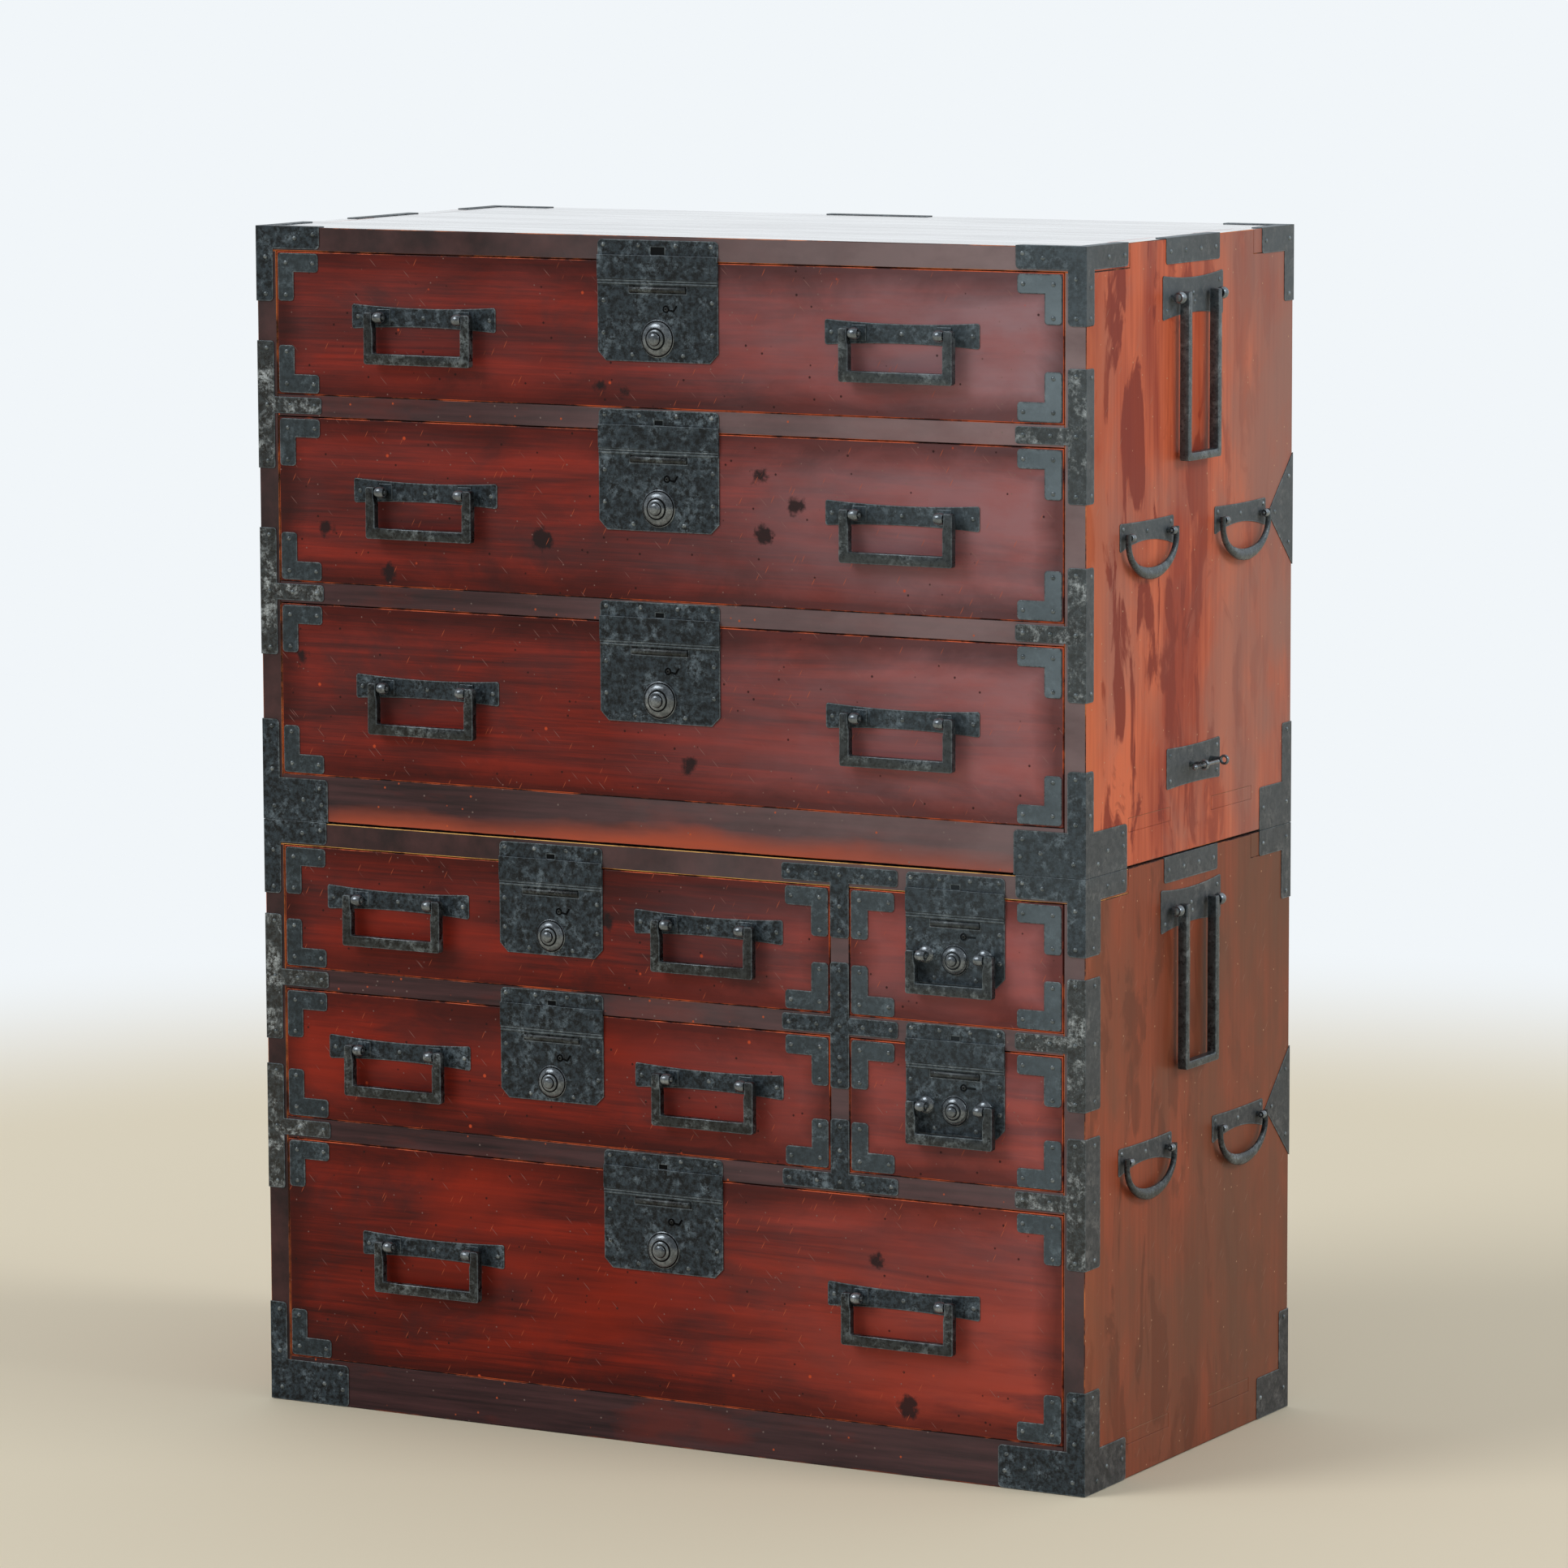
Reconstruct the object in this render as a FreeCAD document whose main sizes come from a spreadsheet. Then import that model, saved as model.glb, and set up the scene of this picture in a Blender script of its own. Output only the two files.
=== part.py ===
"""A two-section clothing chest with iron mounts: stacked cases, drawers, locks and swinging handles.

Frame: +Z up, +X to the viewer's right, the drawers face -Y. The origin is on the floor, under the
middle of the whole chest. All lengths are millimetres.
"""
import FreeCAD, Part
import math
import os
import re

import Sketcher
from FreeCAD import Placement, Rotation, Vector

doc = FreeCAD.newDocument("ClothingChest")
sheet = doc.addObject("Spreadsheet::Sheet", "Sizes")

# Driving dimensions: name, value, what it measures
SIZES = [
    # the two cases
    ("case_width", 900, "width over the side boards"),
    ("case_depth", 440, "depth from the front edges to the back boards"),
    ("side_board", 22, "thickness of the side boards"),
    ("top_board", 23, "thickness of each case's top board"),
    ("base_rail", 45, "height of the rail under the lowest drawer"),
    ("rail", 21, "height of the rails between drawers"),
    ("rail_depth", 30, "depth of the front rails and the divider post"),
    ("floor_board", 13, "thickness of each case's floor board"),
    ("shelf_board", 9, "thickness of the dust boards that the drawers run on"),
    ("back_board", 8, "thickness of the back boards"),
    ("board_gap", 0.3, "open joint between two back boards"),
    ("seam", 2, "gap between the cases, filled by the irons bent over their edges"),
    ("opening_top", 139, "height of the top drawer's opening"),
    ("opening_second", 161, "height of the second drawer's opening"),
    ("opening_third", 168, "height of the third drawer's opening"),
    ("opening_divided_upper", 121, "height of the upper divided row"),
    ("opening_divided_lower", 128, "height of the lower divided row"),
    ("opening_bottom", 219, "height of the bottom drawer's opening"),
    ("divider_x", 192.5, "centre line of the divider post"),
    ("divider_post", 20, "width of the divider post"),
    ("divider_panel", 12, "thickness of the panel behind the post"),
    # drawers
    ("drawer_gap", 0.8, "play at each side of a drawer and above it"),
    ("drawer_lift", 0.3, "play under a drawer"),
    ("drawer_stop", 4, "space behind a closed drawer"),
    ("front_board", 20, "thickness of a drawer front"),
    ("drawer_side", 10, "thickness of the drawer sides and back"),
    ("drawer_floor", 7, "thickness of the drawer floor"),
    ("drawer_headroom", 7, "how much lower the drawer sides are than the front"),
    # sheet iron on the cases
    ("plate", 1, "thickness of the sheet iron"),
    ("top_arm", 72, "length of the upper corner irons along the front"),
    ("top_band", 21, "height of the upper corner irons' arm"),
    ("top_leg", 72, "length of the upper corner irons down the edge"),
    ("base_arm", 74, "length of the upper case's lower corner irons"),
    ("foot_arm", 90, "length of the lower case's foot irons"),
    ("base_band", 41, "height of the lower corner irons' arm"),
    ("base_leg", 98, "length of the lower corner irons up the edge"),
    ("edge_band", 18.5, "width of the irons on the front of the side boards"),
    ("side_arm", 84, "length of the corner irons along the side"),
    ("side_band_upper", 15, "width of the upper case's edge irons on the side"),
    ("side_band_lower", 30, "width of the lower case's edge irons on the side"),
    ("flap", 12, "width of the irons bent over the top and bottom edges"),
    ("back_arm", 70, "length of the rear corner irons along side and back"),
    ("back_band", 20, "width of the rear corner irons' leg"),
    ("strap_length", 124, "length of the T-shaped edge straps"),
    ("strap_tab", 54, "length of a strap's tab along the rail"),
    ("strap_band", 16, "height of a strap's tab"),
    ("cross_arm", 124, "length of the divider irons along the rail"),
    ("cross_leg", 60, "length of the divider irons' legs"),
    ("edge_plate", 114, "length of the plates in the middle of the top edges"),
    ("edge_plate_band", 24, "width of the plates in the middle of the top edges"),
    ("wedge_height", 108, "height of the triangular plates on the rear edges"),
    ("wedge_reach", 54, "reach of the triangular plates from the rear edge"),
    # sheet iron on the drawers
    ("ell_arm", 46, "arm length of the drawer corner plates"),
    ("ell_band", 18, "arm width of the drawer corner plates"),
    ("ell_inset", 1.5, "distance of the corner plates from the drawer's edges"),
    # handles on the drawer fronts
    ("grip_plate", 162, "length of a handle's back plate"),
    ("grip_plate_end", 24, "height of the back plate's ends"),
    ("waist_dip", 3, "hollow of the back plate's long edges"),
    ("grip_drop_top", 61, "top drawer: from the opening's top down to the hinge line"),
    ("grip_drop_second", 69, "second drawer: the same"),
    ("grip_drop_third", 77, "third drawer: the same"),
    ("grip_drop_divided_upper", 48, "upper middle drawer: the same"),
    ("grip_drop_divided_lower", 54, "lower middle drawer: the same"),
    ("grip_drop_bottom", 97, "bottom drawer: the same"),
    ("grip_drop_small", 57, "small drawers: the same"),
    ("bail_width", 119, "width of the bails on the wide drawers"),
    ("bail_width_middle", 111, "width of the bails on the middle drawers"),
    ("bail_width_small", 91, "width of the bails on the small drawers"),
    ("bail_drop", 45, "from the hinge line down to the underside of a bail"),
    ("bail_drop_small", 36, "the same on the small drawers"),
    ("bar_width", 9, "width of the bail's bar, seen from the front"),
    ("bar_depth", 8, "thickness of the bail's bar"),
    ("bar_edge", 1.2, "worn edge of the bars"),
    ("leg_head", 5, "how far a leg stands above its pin"),
    ("pin", 2.3, "radius of the bail pins"),
    ("running", 0.08, "running clearance round pins and plugs"),
    ("eye", 5.5, "radius of the eye that holds a pin"),
    ("eye_play", 0.4, "side play between a leg and its eye"),
    ("stand", 11, "distance of the hinge line from the wood"),
    ("shank", 2.6, "radius of the eye's shank"),
    ("washer", 15, "side of the square washer under an eye"),
    ("washer_depth", 0.8, "thickness of that washer"),
    # carrying bails and ring bails on the sides
    ("carry_width", 71, "width of the carrying bails"),
    ("carry_drop", 153, "from the hinge line down to the underside of a carrying bail"),
    ("carry_bar", 7, "width of the carrying bail's bar"),
    ("carry_depth", 8, "thickness of the carrying bail's bar"),
    ("carry_pitch", 90, "distance between the carrying bail's eyes"),
    ("carry_stand", 9, "distance of the carrying bail's hinge line from the wood"),
    ("carry_eye", 6, "radius of the carrying bail's eyes"),
    ("carry_upper", 55, "from the top of the upper case down to its carrying hinge"),
    ("carry_lower", 50.5, "from the top of the lower case down to its carrying hinge"),
    ("carry_plate", 128, "length of the carrying bail's back plate"),
    ("carry_plate_end", 40, "height of that plate's ends"),
    ("ring_width", 105, "width of the ring bails"),
    ("ring_drop", 42, "from the hinge line down to the underside of a ring bail"),
    ("ring_thin", 5, "thickness of a ring bail at its ends"),
    ("ring_thick", 9, "thickness of a ring bail in the middle"),
    ("ring_depth", 6, "thickness of a ring bail from front to back"),
    ("ring_head", 3.5, "how far a ring bail stands above its pin"),
    ("ring_stand", 6.5, "distance of the ring bail's hinge line from the wood"),
    ("ring_eye", 4, "radius of the ring bail's eyes"),
    ("ring_pin", 1.6, "radius of the ring bail's pins"),
    ("ring_upper", 271, "from the top of the upper case down to its ring hinges"),
    ("ring_lower", 275, "from the top of the lower case down to its ring hinges"),
    ("ring_front_y", 124, "from the front to the forward ring bail"),
    ("ring_back_y", 324, "from the front to the rear ring bail"),
    ("ring_plate", 112, "length of the ring bail's back plate"),
    ("ring_plate_end", 27, "height of that plate's ends"),
    ("ring_waist_dip", 8, "hollow of that plate's lower edge"),
    # the catch that locks the lower case's carrying bail against the upper case
    ("catch_rise", 81.5, "from the bottom of the upper case up to the catch"),
    ("catch_plate", 114, "length of the catch plate"),
    ("catch_band", 39, "height of the catch plate"),
    ("catch_eye_y", 217, "from the front to the catch's first eye"),
    ("catch_pitch", 43, "distance between the catch's eyes"),
    ("catch_eye", 5, "radius of the catch's eyes"),
    ("catch_eye_width", 5, "width of the catch's eyes"),
    ("catch_pin", 1.8, "radius of the sliding catch pin"),
    ("catch_pin_length", 54, "length of the sliding catch pin"),
    ("catch_stand", 15.6, "distance of the catch pin from the wood"),
    # locks
    ("lock_width", 131, "width of the lock plates on the wide drawers"),
    ("lock_width_middle", 115, "width of the lock plates on the middle drawers"),
    ("lock_width_small", 104, "width of the lock plates on the small drawers"),
    ("lock_height", 95, "from the drawer's top down to the lock plate's foot"),
    ("lock_height_middle", 88, "the same on the middle drawers"),
    ("lock_height_small", 79, "the same on the small drawers"),
    ("lock_lip", 5, "how far the lock plate's lip covers the rail above"),
    ("lock_band", 17.5, "depth of the raised band along the lock plate's top"),
    ("lock_sheet", 1.2, "thickness of the lock plate"),
    ("lock_band_sheet", 1.4, "thickness of the raised band"),
    ("lock_corner", 9, "cut of the lock plate's lower corners"),
    ("rail_sheet", 0.9, "thickness of the plate on the rail above a lock"),
    ("rail_sheet_height", 19.5, "height of that plate"),
    ("slot_length", 62, "length of the slot for the latch bar"),
    ("slot_length_small", 52, "the same on the small drawers"),
    ("slot_height", 7, "height of that slot"),
    ("slot_drop", 27, "from the drawer's top down to the slot"),
    ("keyhole", 3, "radius of the keyhole"),
    ("keyhole_drop", 45, "from the drawer's top down to the keyhole"),
    ("keyhole_drop_small", 38, "the same on the small drawers"),
    ("keyhole_side", 9, "from the lock's middle to the keyhole"),
    ("boss", 18, "radius of the boss on the wide drawers"),
    ("boss_middle", 16, "radius of the boss on the middle drawers"),
    ("boss_small", 14.5, "radius of the boss on the small drawers"),
    ("boss_height", 4, "height of the boss's collar"),
    ("boss_drop", 73, "from the drawer's top down to the boss"),
    ("boss_drop_middle", 69, "the same on the middle drawers"),
    ("boss_drop_small", 60.5, "the same on the small drawers"),
    ("plug_height", 6, "how far the lock button stands out of its collar"),
    ("plug_travel", 3, "travel of the lock button"),
    ("plug_stem", 3, "radius of the lock button's stem"),
    ("overrun", 1, "how far cutting shapes run past what they cut"),
]
for row, (alias, number, meaning) in enumerate(SIZES, start=1):
    sheet.set(f"A{row}", meaning)
    sheet.set(f"B{row}", str(number))
    sheet.setAlias(f"B{row}", alias)
doc.recompute()
ALIASES = re.compile(r"\b(" + "|".join(alias for alias, _, _ in SIZES) + r")\b")


def bind(target, prop, formula):
    """Binds a property to a formula written in the sheet's names."""
    target.setExpression(prop, ALIASES.sub(r"Sizes.\1", formula))


def measure(formula):
    """The present value of such a formula, in millimetres."""
    return float(sheet.evalExpression(ALIASES.sub(r"Sizes.\1", formula)))


# Directions of a round piece, which is drawn along its own Z axis
ALONG_X = Rotation(Vector(0, 1, 0), 90)
TO_FRONT = Rotation(Vector(1, 0, 0), 90)
UPRIGHT = Rotation()
# Turns about the vertical that carry a piece drawn on the front face to another face
ON_RIGHT = Rotation(Vector(0, 0, 1), 90)
ON_LEFT = Rotation(Vector(0, 0, 1), -90)
ON_BACK = Rotation(Vector(0, 0, 1), 180)
# Turns in the plane of the front
TIPPED_LEFT = Rotation(Vector(0, 1, 0), -90)
TIPPED_RIGHT = Rotation(Vector(0, 1, 0), 90)
TIPPED_OVER = Rotation(Vector(0, 1, 0), 180)
AT_ORIGIN = ("0", "0", "0")


def seat(piece, at, turn=UPRIGHT):
    """Sets a piece's place: a turn, and three formulas for its origin."""
    piece.Placement = Placement(Vector(), turn)
    for axis, formula in zip("xyz", at):
        bind(piece, f"Placement.Base.{axis}", formula)
    return piece


def slab(name, corner, size):
    """A board or plate, from its low corner and its three sizes."""
    board = doc.addObject("Part::Box", name)
    for prop, formula in zip(("Length", "Width", "Height"), size):
        bind(board, prop, formula)
    return seat(board, corner)


def group(name, pieces, at=AT_ORIGIN, turn=UPRIGHT):
    """Pieces that stay separate solids, placed together."""
    pack = doc.addObject("Part::Compound", name)
    pack.Links = pieces
    return seat(pack, at, turn)


def join(name, pieces):
    """Pieces forged or bent out of one."""
    whole = doc.addObject("Part::MultiFuse", name)
    whole.Shapes = pieces
    whole.Refine = True
    return whole


def cut(name, base, tools):
    """A piece with shapes taken out of it."""
    rest = doc.addObject("Part::Cut", name)
    rest.Base = base
    rest.Tool = group(name + "_tools", tools)
    return rest


def mirror(name, piece):
    """The left-hand twin of a right-hand piece."""
    twin = doc.addObject("Part::Mirroring", name)
    twin.Source = piece
    twin.Normal = Vector(1, 0, 0)
    return twin


def both_sides(name, piece):
    """A right-hand piece and its left-hand twin."""
    return [piece, mirror(name + "_left", piece)]


def origin_plane(body, role):
    return next(feature for feature in body.Origin.OriginFeatures if feature.Role == role)


def sketch_on(body, name, role, offset="0"):
    """A sketch on one of the body's own planes, moved along that plane's normal."""
    sketch = body.newObject("Sketcher::SketchObject", name)
    sketch.AttachmentSupport = (origin_plane(body, role), "")
    sketch.MapMode = "FlatFace"
    bind(sketch, "AttachmentOffset.Base.z", offset)
    return sketch


def fix_point(sketch, line, point, formulas):
    """Ties a drawn point to its two formulas."""
    for axis, kind, formula in zip(("across", "upward"), ("DistanceX", "DistanceY"), formulas):
        label = f"{axis}_{line}_{point}"
        rule = sketch.addConstraint(
            Sketcher.Constraint(kind, -1, 1, line, point, measure(formula))
        )
        sketch.renameConstraint(rule, label)
        bind(sketch, f"Constraints.{label}", formula)


def draw_outline(sketch, corners):
    """A closed outline through corners that are written as pairs of formulas."""
    points = [Vector(measure(across), measure(upward), 0) for across, upward in corners]
    count = len(points)
    sketch.addGeometry(
        [Part.LineSegment(points[i], points[(i + 1) % count]) for i in range(count)], False
    )
    sketch.addConstraint(
        [Sketcher.Constraint("Coincident", i, 2, (i + 1) % count, 1) for i in range(count)]
    )
    for i, formulas in enumerate(corners):
        fix_point(sketch, i, 1, formulas)


def pad(body, name, sketch, length, midplane=False):
    """Adds material in front of a sketch, or half to each side of it."""
    feature = body.newObject("PartDesign::Pad", name)
    feature.Profile = sketch
    feature.Midplane = midplane
    bind(feature, "Length", length)
    body.Tip = feature
    return feature


def pocket(body, name, sketch, length):
    """Takes material away on both sides of a sketch."""
    feature = body.newObject("PartDesign::Pocket", name)
    feature.Profile = sketch
    feature.Midplane = True
    bind(feature, "Length", length)
    body.Tip = feature
    return feature


# The whole chest is centred between the eyes in front and the irons behind
MIDDLE_Y = "(case_depth + plate - stand - eye)/2"
NODES = []


def node(label, solids, at=AT_ORIGIN, turn=UPRIGHT):
    """One named sub-part of the chest."""
    east, back, up = at
    part = group(label, solids, (east, f"{back} - {MIDDLE_Y}", up), turn)
    part.Label = label
    NODES.append(part)
    return part


# Heights, counted from the floor of each case
LOWER_ROWS = {"bottom": "base_rail"}
LOWER_ROWS["divided_lower"] = f"{LOWER_ROWS['bottom']} + opening_bottom + rail"
LOWER_ROWS["divided_upper"] = f"{LOWER_ROWS['divided_lower']} + opening_divided_lower + rail"
UPPER_ROWS = {"third": "base_rail"}
UPPER_ROWS["second"] = f"{UPPER_ROWS['third']} + opening_third + rail"
UPPER_ROWS["top"] = f"{UPPER_ROWS['second']} + opening_second + rail"
CASES = {
    "upper": {
        "rows": UPPER_ROWS,
        "height": f"({UPPER_ROWS['top']} + opening_top + top_board)",
        "base": f"{LOWER_ROWS['divided_upper']} + opening_divided_upper + top_board + seam",
    },
    "lower": {
        "rows": LOWER_ROWS,
        "height": f"({LOWER_ROWS['divided_upper']} + opening_divided_upper + top_board)",
        "base": "0",
    },
}
SIDE_X = "(case_width/2)"
INNER_X = "(case_width/2 - side_board)"
INNER_WIDTH = "(case_width - 2*side_board)"
SHELF_DEPTH = "(case_depth - rail_depth - back_board)"
FINGERS = 5
FINGER = f"(case_depth/{FINGERS})"
TOP_FINGERS = (0, 2, 4)
SIDE_FINGERS = (1, 3)
BACK_BOARDS = 3


def finger_notches(name, x, width, z, height, fingers):
    """Cutting blocks for one end of a box joint, one block for each finger of the other board."""
    return [
        slab(
            f"{name}_notch_{finger}",
            (f"{x} - overrun", f"{finger}*{FINGER}", z),
            (f"{width} + 2*overrun", FINGER, height),
        )
        for finger in fingers
    ]


def case_boards(case, height):
    """Side, top and floor boards, locked together by box joints and through tenons."""
    side = cut(
        f"{case}_side",
        slab(f"{case}_side_blank", (INNER_X, "0", "0"), ("side_board", "case_depth", height)),
        finger_notches(
            f"{case}_side_top", INNER_X, "side_board", f"{height} - top_board",
            "top_board + overrun", TOP_FINGERS,
        )
        + finger_notches(
            f"{case}_side_floor", INNER_X, "side_board", "base_rail - floor_board",
            "floor_board", SIDE_FINGERS,
        ),
    )
    top_notches = finger_notches(
        f"{case}_top", INNER_X, "side_board", f"{height} - top_board - overrun",
        "top_board + 2*overrun", SIDE_FINGERS,
    )
    floor_notches = finger_notches(
        f"{case}_floor", INNER_X, "side_board", "base_rail - floor_board - overrun",
        "floor_board + 2*overrun", TOP_FINGERS,
    )
    top = cut(
        f"{case}_top",
        slab(
            f"{case}_top_blank",
            (f"-{SIDE_X}", "0", f"{height} - top_board"),
            ("case_width", "case_depth", "top_board"),
        ),
        [piece for notch in top_notches for piece in both_sides(notch.Name, notch)],
    )
    floor = cut(
        f"{case}_floor",
        slab(
            f"{case}_floor_blank",
            (f"-{SIDE_X}", "rail_depth", "base_rail - floor_board"),
            ("case_width", "case_depth - rail_depth", "floor_board"),
        ),
        [piece for notch in floor_notches for piece in both_sides(notch.Name, notch)],
    )
    bearer = slab(
        f"{case}_bearer",
        (f"-{INNER_X}", "case_depth - rail_depth", "0"),
        (INNER_WIDTH, "rail_depth", "base_rail - floor_board"),
    )
    return both_sides(f"{case}_side", side) + [top, floor, bearer]


def case_rails(case, rows):
    """Front rails with the dust board behind each."""
    boards = [
        slab(f"{case}_base_rail", (f"-{INNER_X}", "0", "0"), (INNER_WIDTH, "rail_depth", "base_rail"))
    ]
    for row in list(rows)[1:]:
        floor = rows[row]
        boards.append(
            slab(
                f"{case}_rail_{row}",
                (f"-{INNER_X}", "0", f"{floor} - rail"),
                (INNER_WIDTH, "rail_depth", "rail"),
            )
        )
        boards.append(
            slab(
                f"{case}_shelf_{row}",
                (f"-{INNER_X}", "rail_depth", f"{floor} - shelf_board"),
                (INNER_WIDTH, SHELF_DEPTH, "shelf_board"),
            )
        )
    return boards


def divider():
    """The posts and panels that part the small drawers from the middle ones."""
    boards = []
    for row, panel_height in (
        ("divided_lower", "opening_divided_lower + rail - shelf_board"),
        ("divided_upper", "opening_divided_upper"),
    ):
        floor = LOWER_ROWS[row]
        boards.append(
            slab(
                f"divider_post_{row}",
                ("divider_x - divider_post/2", "0", floor),
                ("divider_post", "rail_depth", f"opening_{row}"),
            )
        )
        boards.append(
            slab(
                f"divider_panel_{row}",
                ("divider_x - divider_panel/2", "rail_depth", floor),
                ("divider_panel", SHELF_DEPTH, panel_height),
            )
        )
    return boards


def back_boards(case, height):
    """Level boards that close the back between the side boards."""
    room = f"({height} - top_board - base_rail)"
    board = f"(({room} - {BACK_BOARDS - 1}*board_gap)/{BACK_BOARDS})"
    return [
        slab(
            f"{case}_back_board_{i}",
            (f"-{INNER_X}", "case_depth - back_board", f"base_rail + {i}*({board} + board_gap)"),
            (INNER_WIDTH, "back_board", board),
        )
        for i in range(BACK_BOARDS)
    ]


# Irons bent round the edges of the cases
def upright_run(case, at_top, length):
    """Start and length of an iron that runs along an edge from a corner of a case."""
    if at_top:
        return f"{CASES[case]['height']} - {length}", f"{length} + plate"
    if case == "upper":
        return "-plate", f"{length} + plate"
    return "0", length


def front_corner(name, case, at_top, arm, band, leg, side_band):
    """A corner iron: arm and leg on the front, arm and leg on the side, and a flap over the edge."""
    band_z, band_height = upright_run(case, at_top, band)
    leg_z, leg_height = upright_run(case, at_top, leg)
    irons = [
        slab(f"{name}_arm", (f"{SIDE_X} - {arm}", "-plate", band_z), (f"{arm} + plate", "plate", band_height)),
        slab(
            f"{name}_leg",
            (f"{SIDE_X} - edge_band", "-plate", leg_z),
            ("edge_band + plate", "plate", leg_height),
        ),
        slab(f"{name}_side_arm", (SIDE_X, "-plate", band_z), ("plate", "side_arm + plate", band_height)),
        slab(f"{name}_side_leg", (SIDE_X, "-plate", leg_z), ("plate", f"{side_band} + plate", leg_height)),
    ]
    if at_top or case == "upper":
        flap_z = CASES[case]["height"] if at_top else "-plate"
        irons += [
            slab(
                f"{name}_flap",
                (f"{SIDE_X} - {arm}", "-plate", flap_z),
                (f"{arm} + plate", "flap + plate", "plate"),
            ),
            slab(
                f"{name}_side_flap",
                (f"{SIDE_X} - flap", "-plate", flap_z),
                ("flap + plate", "side_arm + plate", "plate"),
            ),
        ]
    return join(name, irons)


def rear_corner(name, case, at_top, band, leg):
    """The same at a rear corner, on the side and on the back."""
    band_z, band_height = upright_run(case, at_top, band)
    leg_z, leg_height = upright_run(case, at_top, leg)
    irons = [
        slab(
            f"{name}_side_arm",
            (SIDE_X, "case_depth - back_arm", band_z),
            ("plate", "back_arm + plate", band_height),
        ),
        slab(
            f"{name}_side_leg",
            (SIDE_X, "case_depth - back_band", leg_z),
            ("plate", "back_band + plate", leg_height),
        ),
        slab(
            f"{name}_arm",
            (f"{SIDE_X} - back_arm", "case_depth", band_z),
            ("back_arm + plate", "plate", band_height),
        ),
        slab(
            f"{name}_leg",
            (f"{SIDE_X} - back_band", "case_depth", leg_z),
            ("back_band + plate", "plate", leg_height),
        ),
    ]
    if at_top or case == "upper":
        flap_z = CASES[case]["height"] if at_top else "-plate"
        irons += [
            slab(
                f"{name}_flap",
                (f"{SIDE_X} - back_arm", "case_depth - flap", flap_z),
                ("back_arm + plate", "flap + plate", "plate"),
            ),
            slab(
                f"{name}_side_flap",
                (f"{SIDE_X} - flap", "case_depth - back_arm", flap_z),
                ("flap + plate", "back_arm + plate", "plate"),
            ),
        ]
    return join(name, irons)


def strap(name, rail_z, side_band):
    """A T-shaped strap over the end of a rail, bent round the front edge of the side board."""
    foot = f"{rail_z} - strap_length/2"
    return join(
        name,
        [
            slab(
                f"{name}_front",
                (f"{SIDE_X} - edge_band", "-plate", foot),
                ("edge_band + plate", "plate", "strap_length"),
            ),
            slab(f"{name}_side", (SIDE_X, "-plate", foot), ("plate", f"{side_band} + plate", "strap_length")),
            slab(
                f"{name}_tab",
                (f"{SIDE_X} - edge_band - strap_tab", "-plate", f"{rail_z} - strap_band/2"),
                ("edge_band + strap_tab", "plate", "strap_band"),
            ),
        ],
    )


def triangle_plate():
    """A triangular plate, drawn with its long edge on the axis and its tip to the left."""
    body = doc.addObject("PartDesign::Body", "triangle_plate")
    sketch = sketch_on(body, "triangle_outline", "XZ_Plane")
    draw_outline(
        sketch, [("plate", "-wedge_height/2"), ("plate", "wedge_height/2"), ("-wedge_reach", "0")]
    )
    pad(body, "triangle_sheet", sketch, "plate")
    return body


TRIANGLE = triangle_plate()


def edge_plates(case, height):
    """Plates bent over the middle of the top edges, at both sides and behind."""
    side = join(
        f"{case}_edge_plate",
        [
            slab(
                f"{case}_edge_plate_side",
                (SIDE_X, "case_depth/2 - edge_plate/2", f"{height} - edge_plate_band"),
                ("plate", "edge_plate", "edge_plate_band + plate"),
            ),
            slab(
                f"{case}_edge_plate_flap",
                (f"{SIDE_X} - flap", "case_depth/2 - edge_plate/2", height),
                ("flap + plate", "edge_plate", "plate"),
            ),
        ],
    )
    back = join(
        f"{case}_rear_plate",
        [
            slab(
                f"{case}_rear_plate_back",
                ("-edge_plate/2", "case_depth", f"{height} - edge_plate_band"),
                ("edge_plate", "plate", "edge_plate_band + plate"),
            ),
            slab(
                f"{case}_rear_plate_flap",
                ("-edge_plate/2", "case_depth - flap", height),
                ("edge_plate", "flap + plate", "plate"),
            ),
        ],
    )
    return both_sides(f"{case}_edge_plate", side) + [back]


def triangles(case, height):
    """Triangular plates half way up the rear edges, on the side and on the back."""
    middle = f"{height}/2 - base_rail/2 + plate"
    side = group(f"{case}_triangle_side", [TRIANGLE], (SIDE_X, "case_depth", middle), ON_RIGHT)
    back = group(f"{case}_triangle_back", [TRIANGLE], (f"-{SIDE_X}", "case_depth", middle), ON_BACK)
    return both_sides(f"{case}_triangle_side", side) + both_sides(f"{case}_triangle_back", back)


def divider_irons():
    """Irons nailed over the crossings of the divider post with the rails."""
    top = CASES["lower"]["height"]
    crossings = {
        "top": (f"{top} - top_board/2", "1", "0"),
        "middle": (f"{LOWER_ROWS['divided_upper']} - rail/2", "1", "1"),
        "bottom": (f"{LOWER_ROWS['divided_lower']} - rail/2", "0", "1"),
    }
    irons = []
    for name, (centre, down_share, up_share) in crossings.items():
        irons.append(
            join(
                f"divider_iron_{name}",
                [
                    slab(
                        f"divider_iron_{name}_arm",
                        ("divider_x - cross_arm/2", "-plate", f"{centre} - strap_band/2"),
                        ("cross_arm", "plate", "strap_band"),
                    ),
                    slab(
                        f"divider_iron_{name}_leg",
                        ("divider_x - divider_post/2", "-plate", f"{centre} - {down_share}*cross_leg"),
                        ("divider_post", "plate", f"({down_share} + {up_share})*cross_leg"),
                    ),
                ],
            )
        )
    return irons


# Eyes, back plates and bails
FORGED_SIDES = 8


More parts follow.
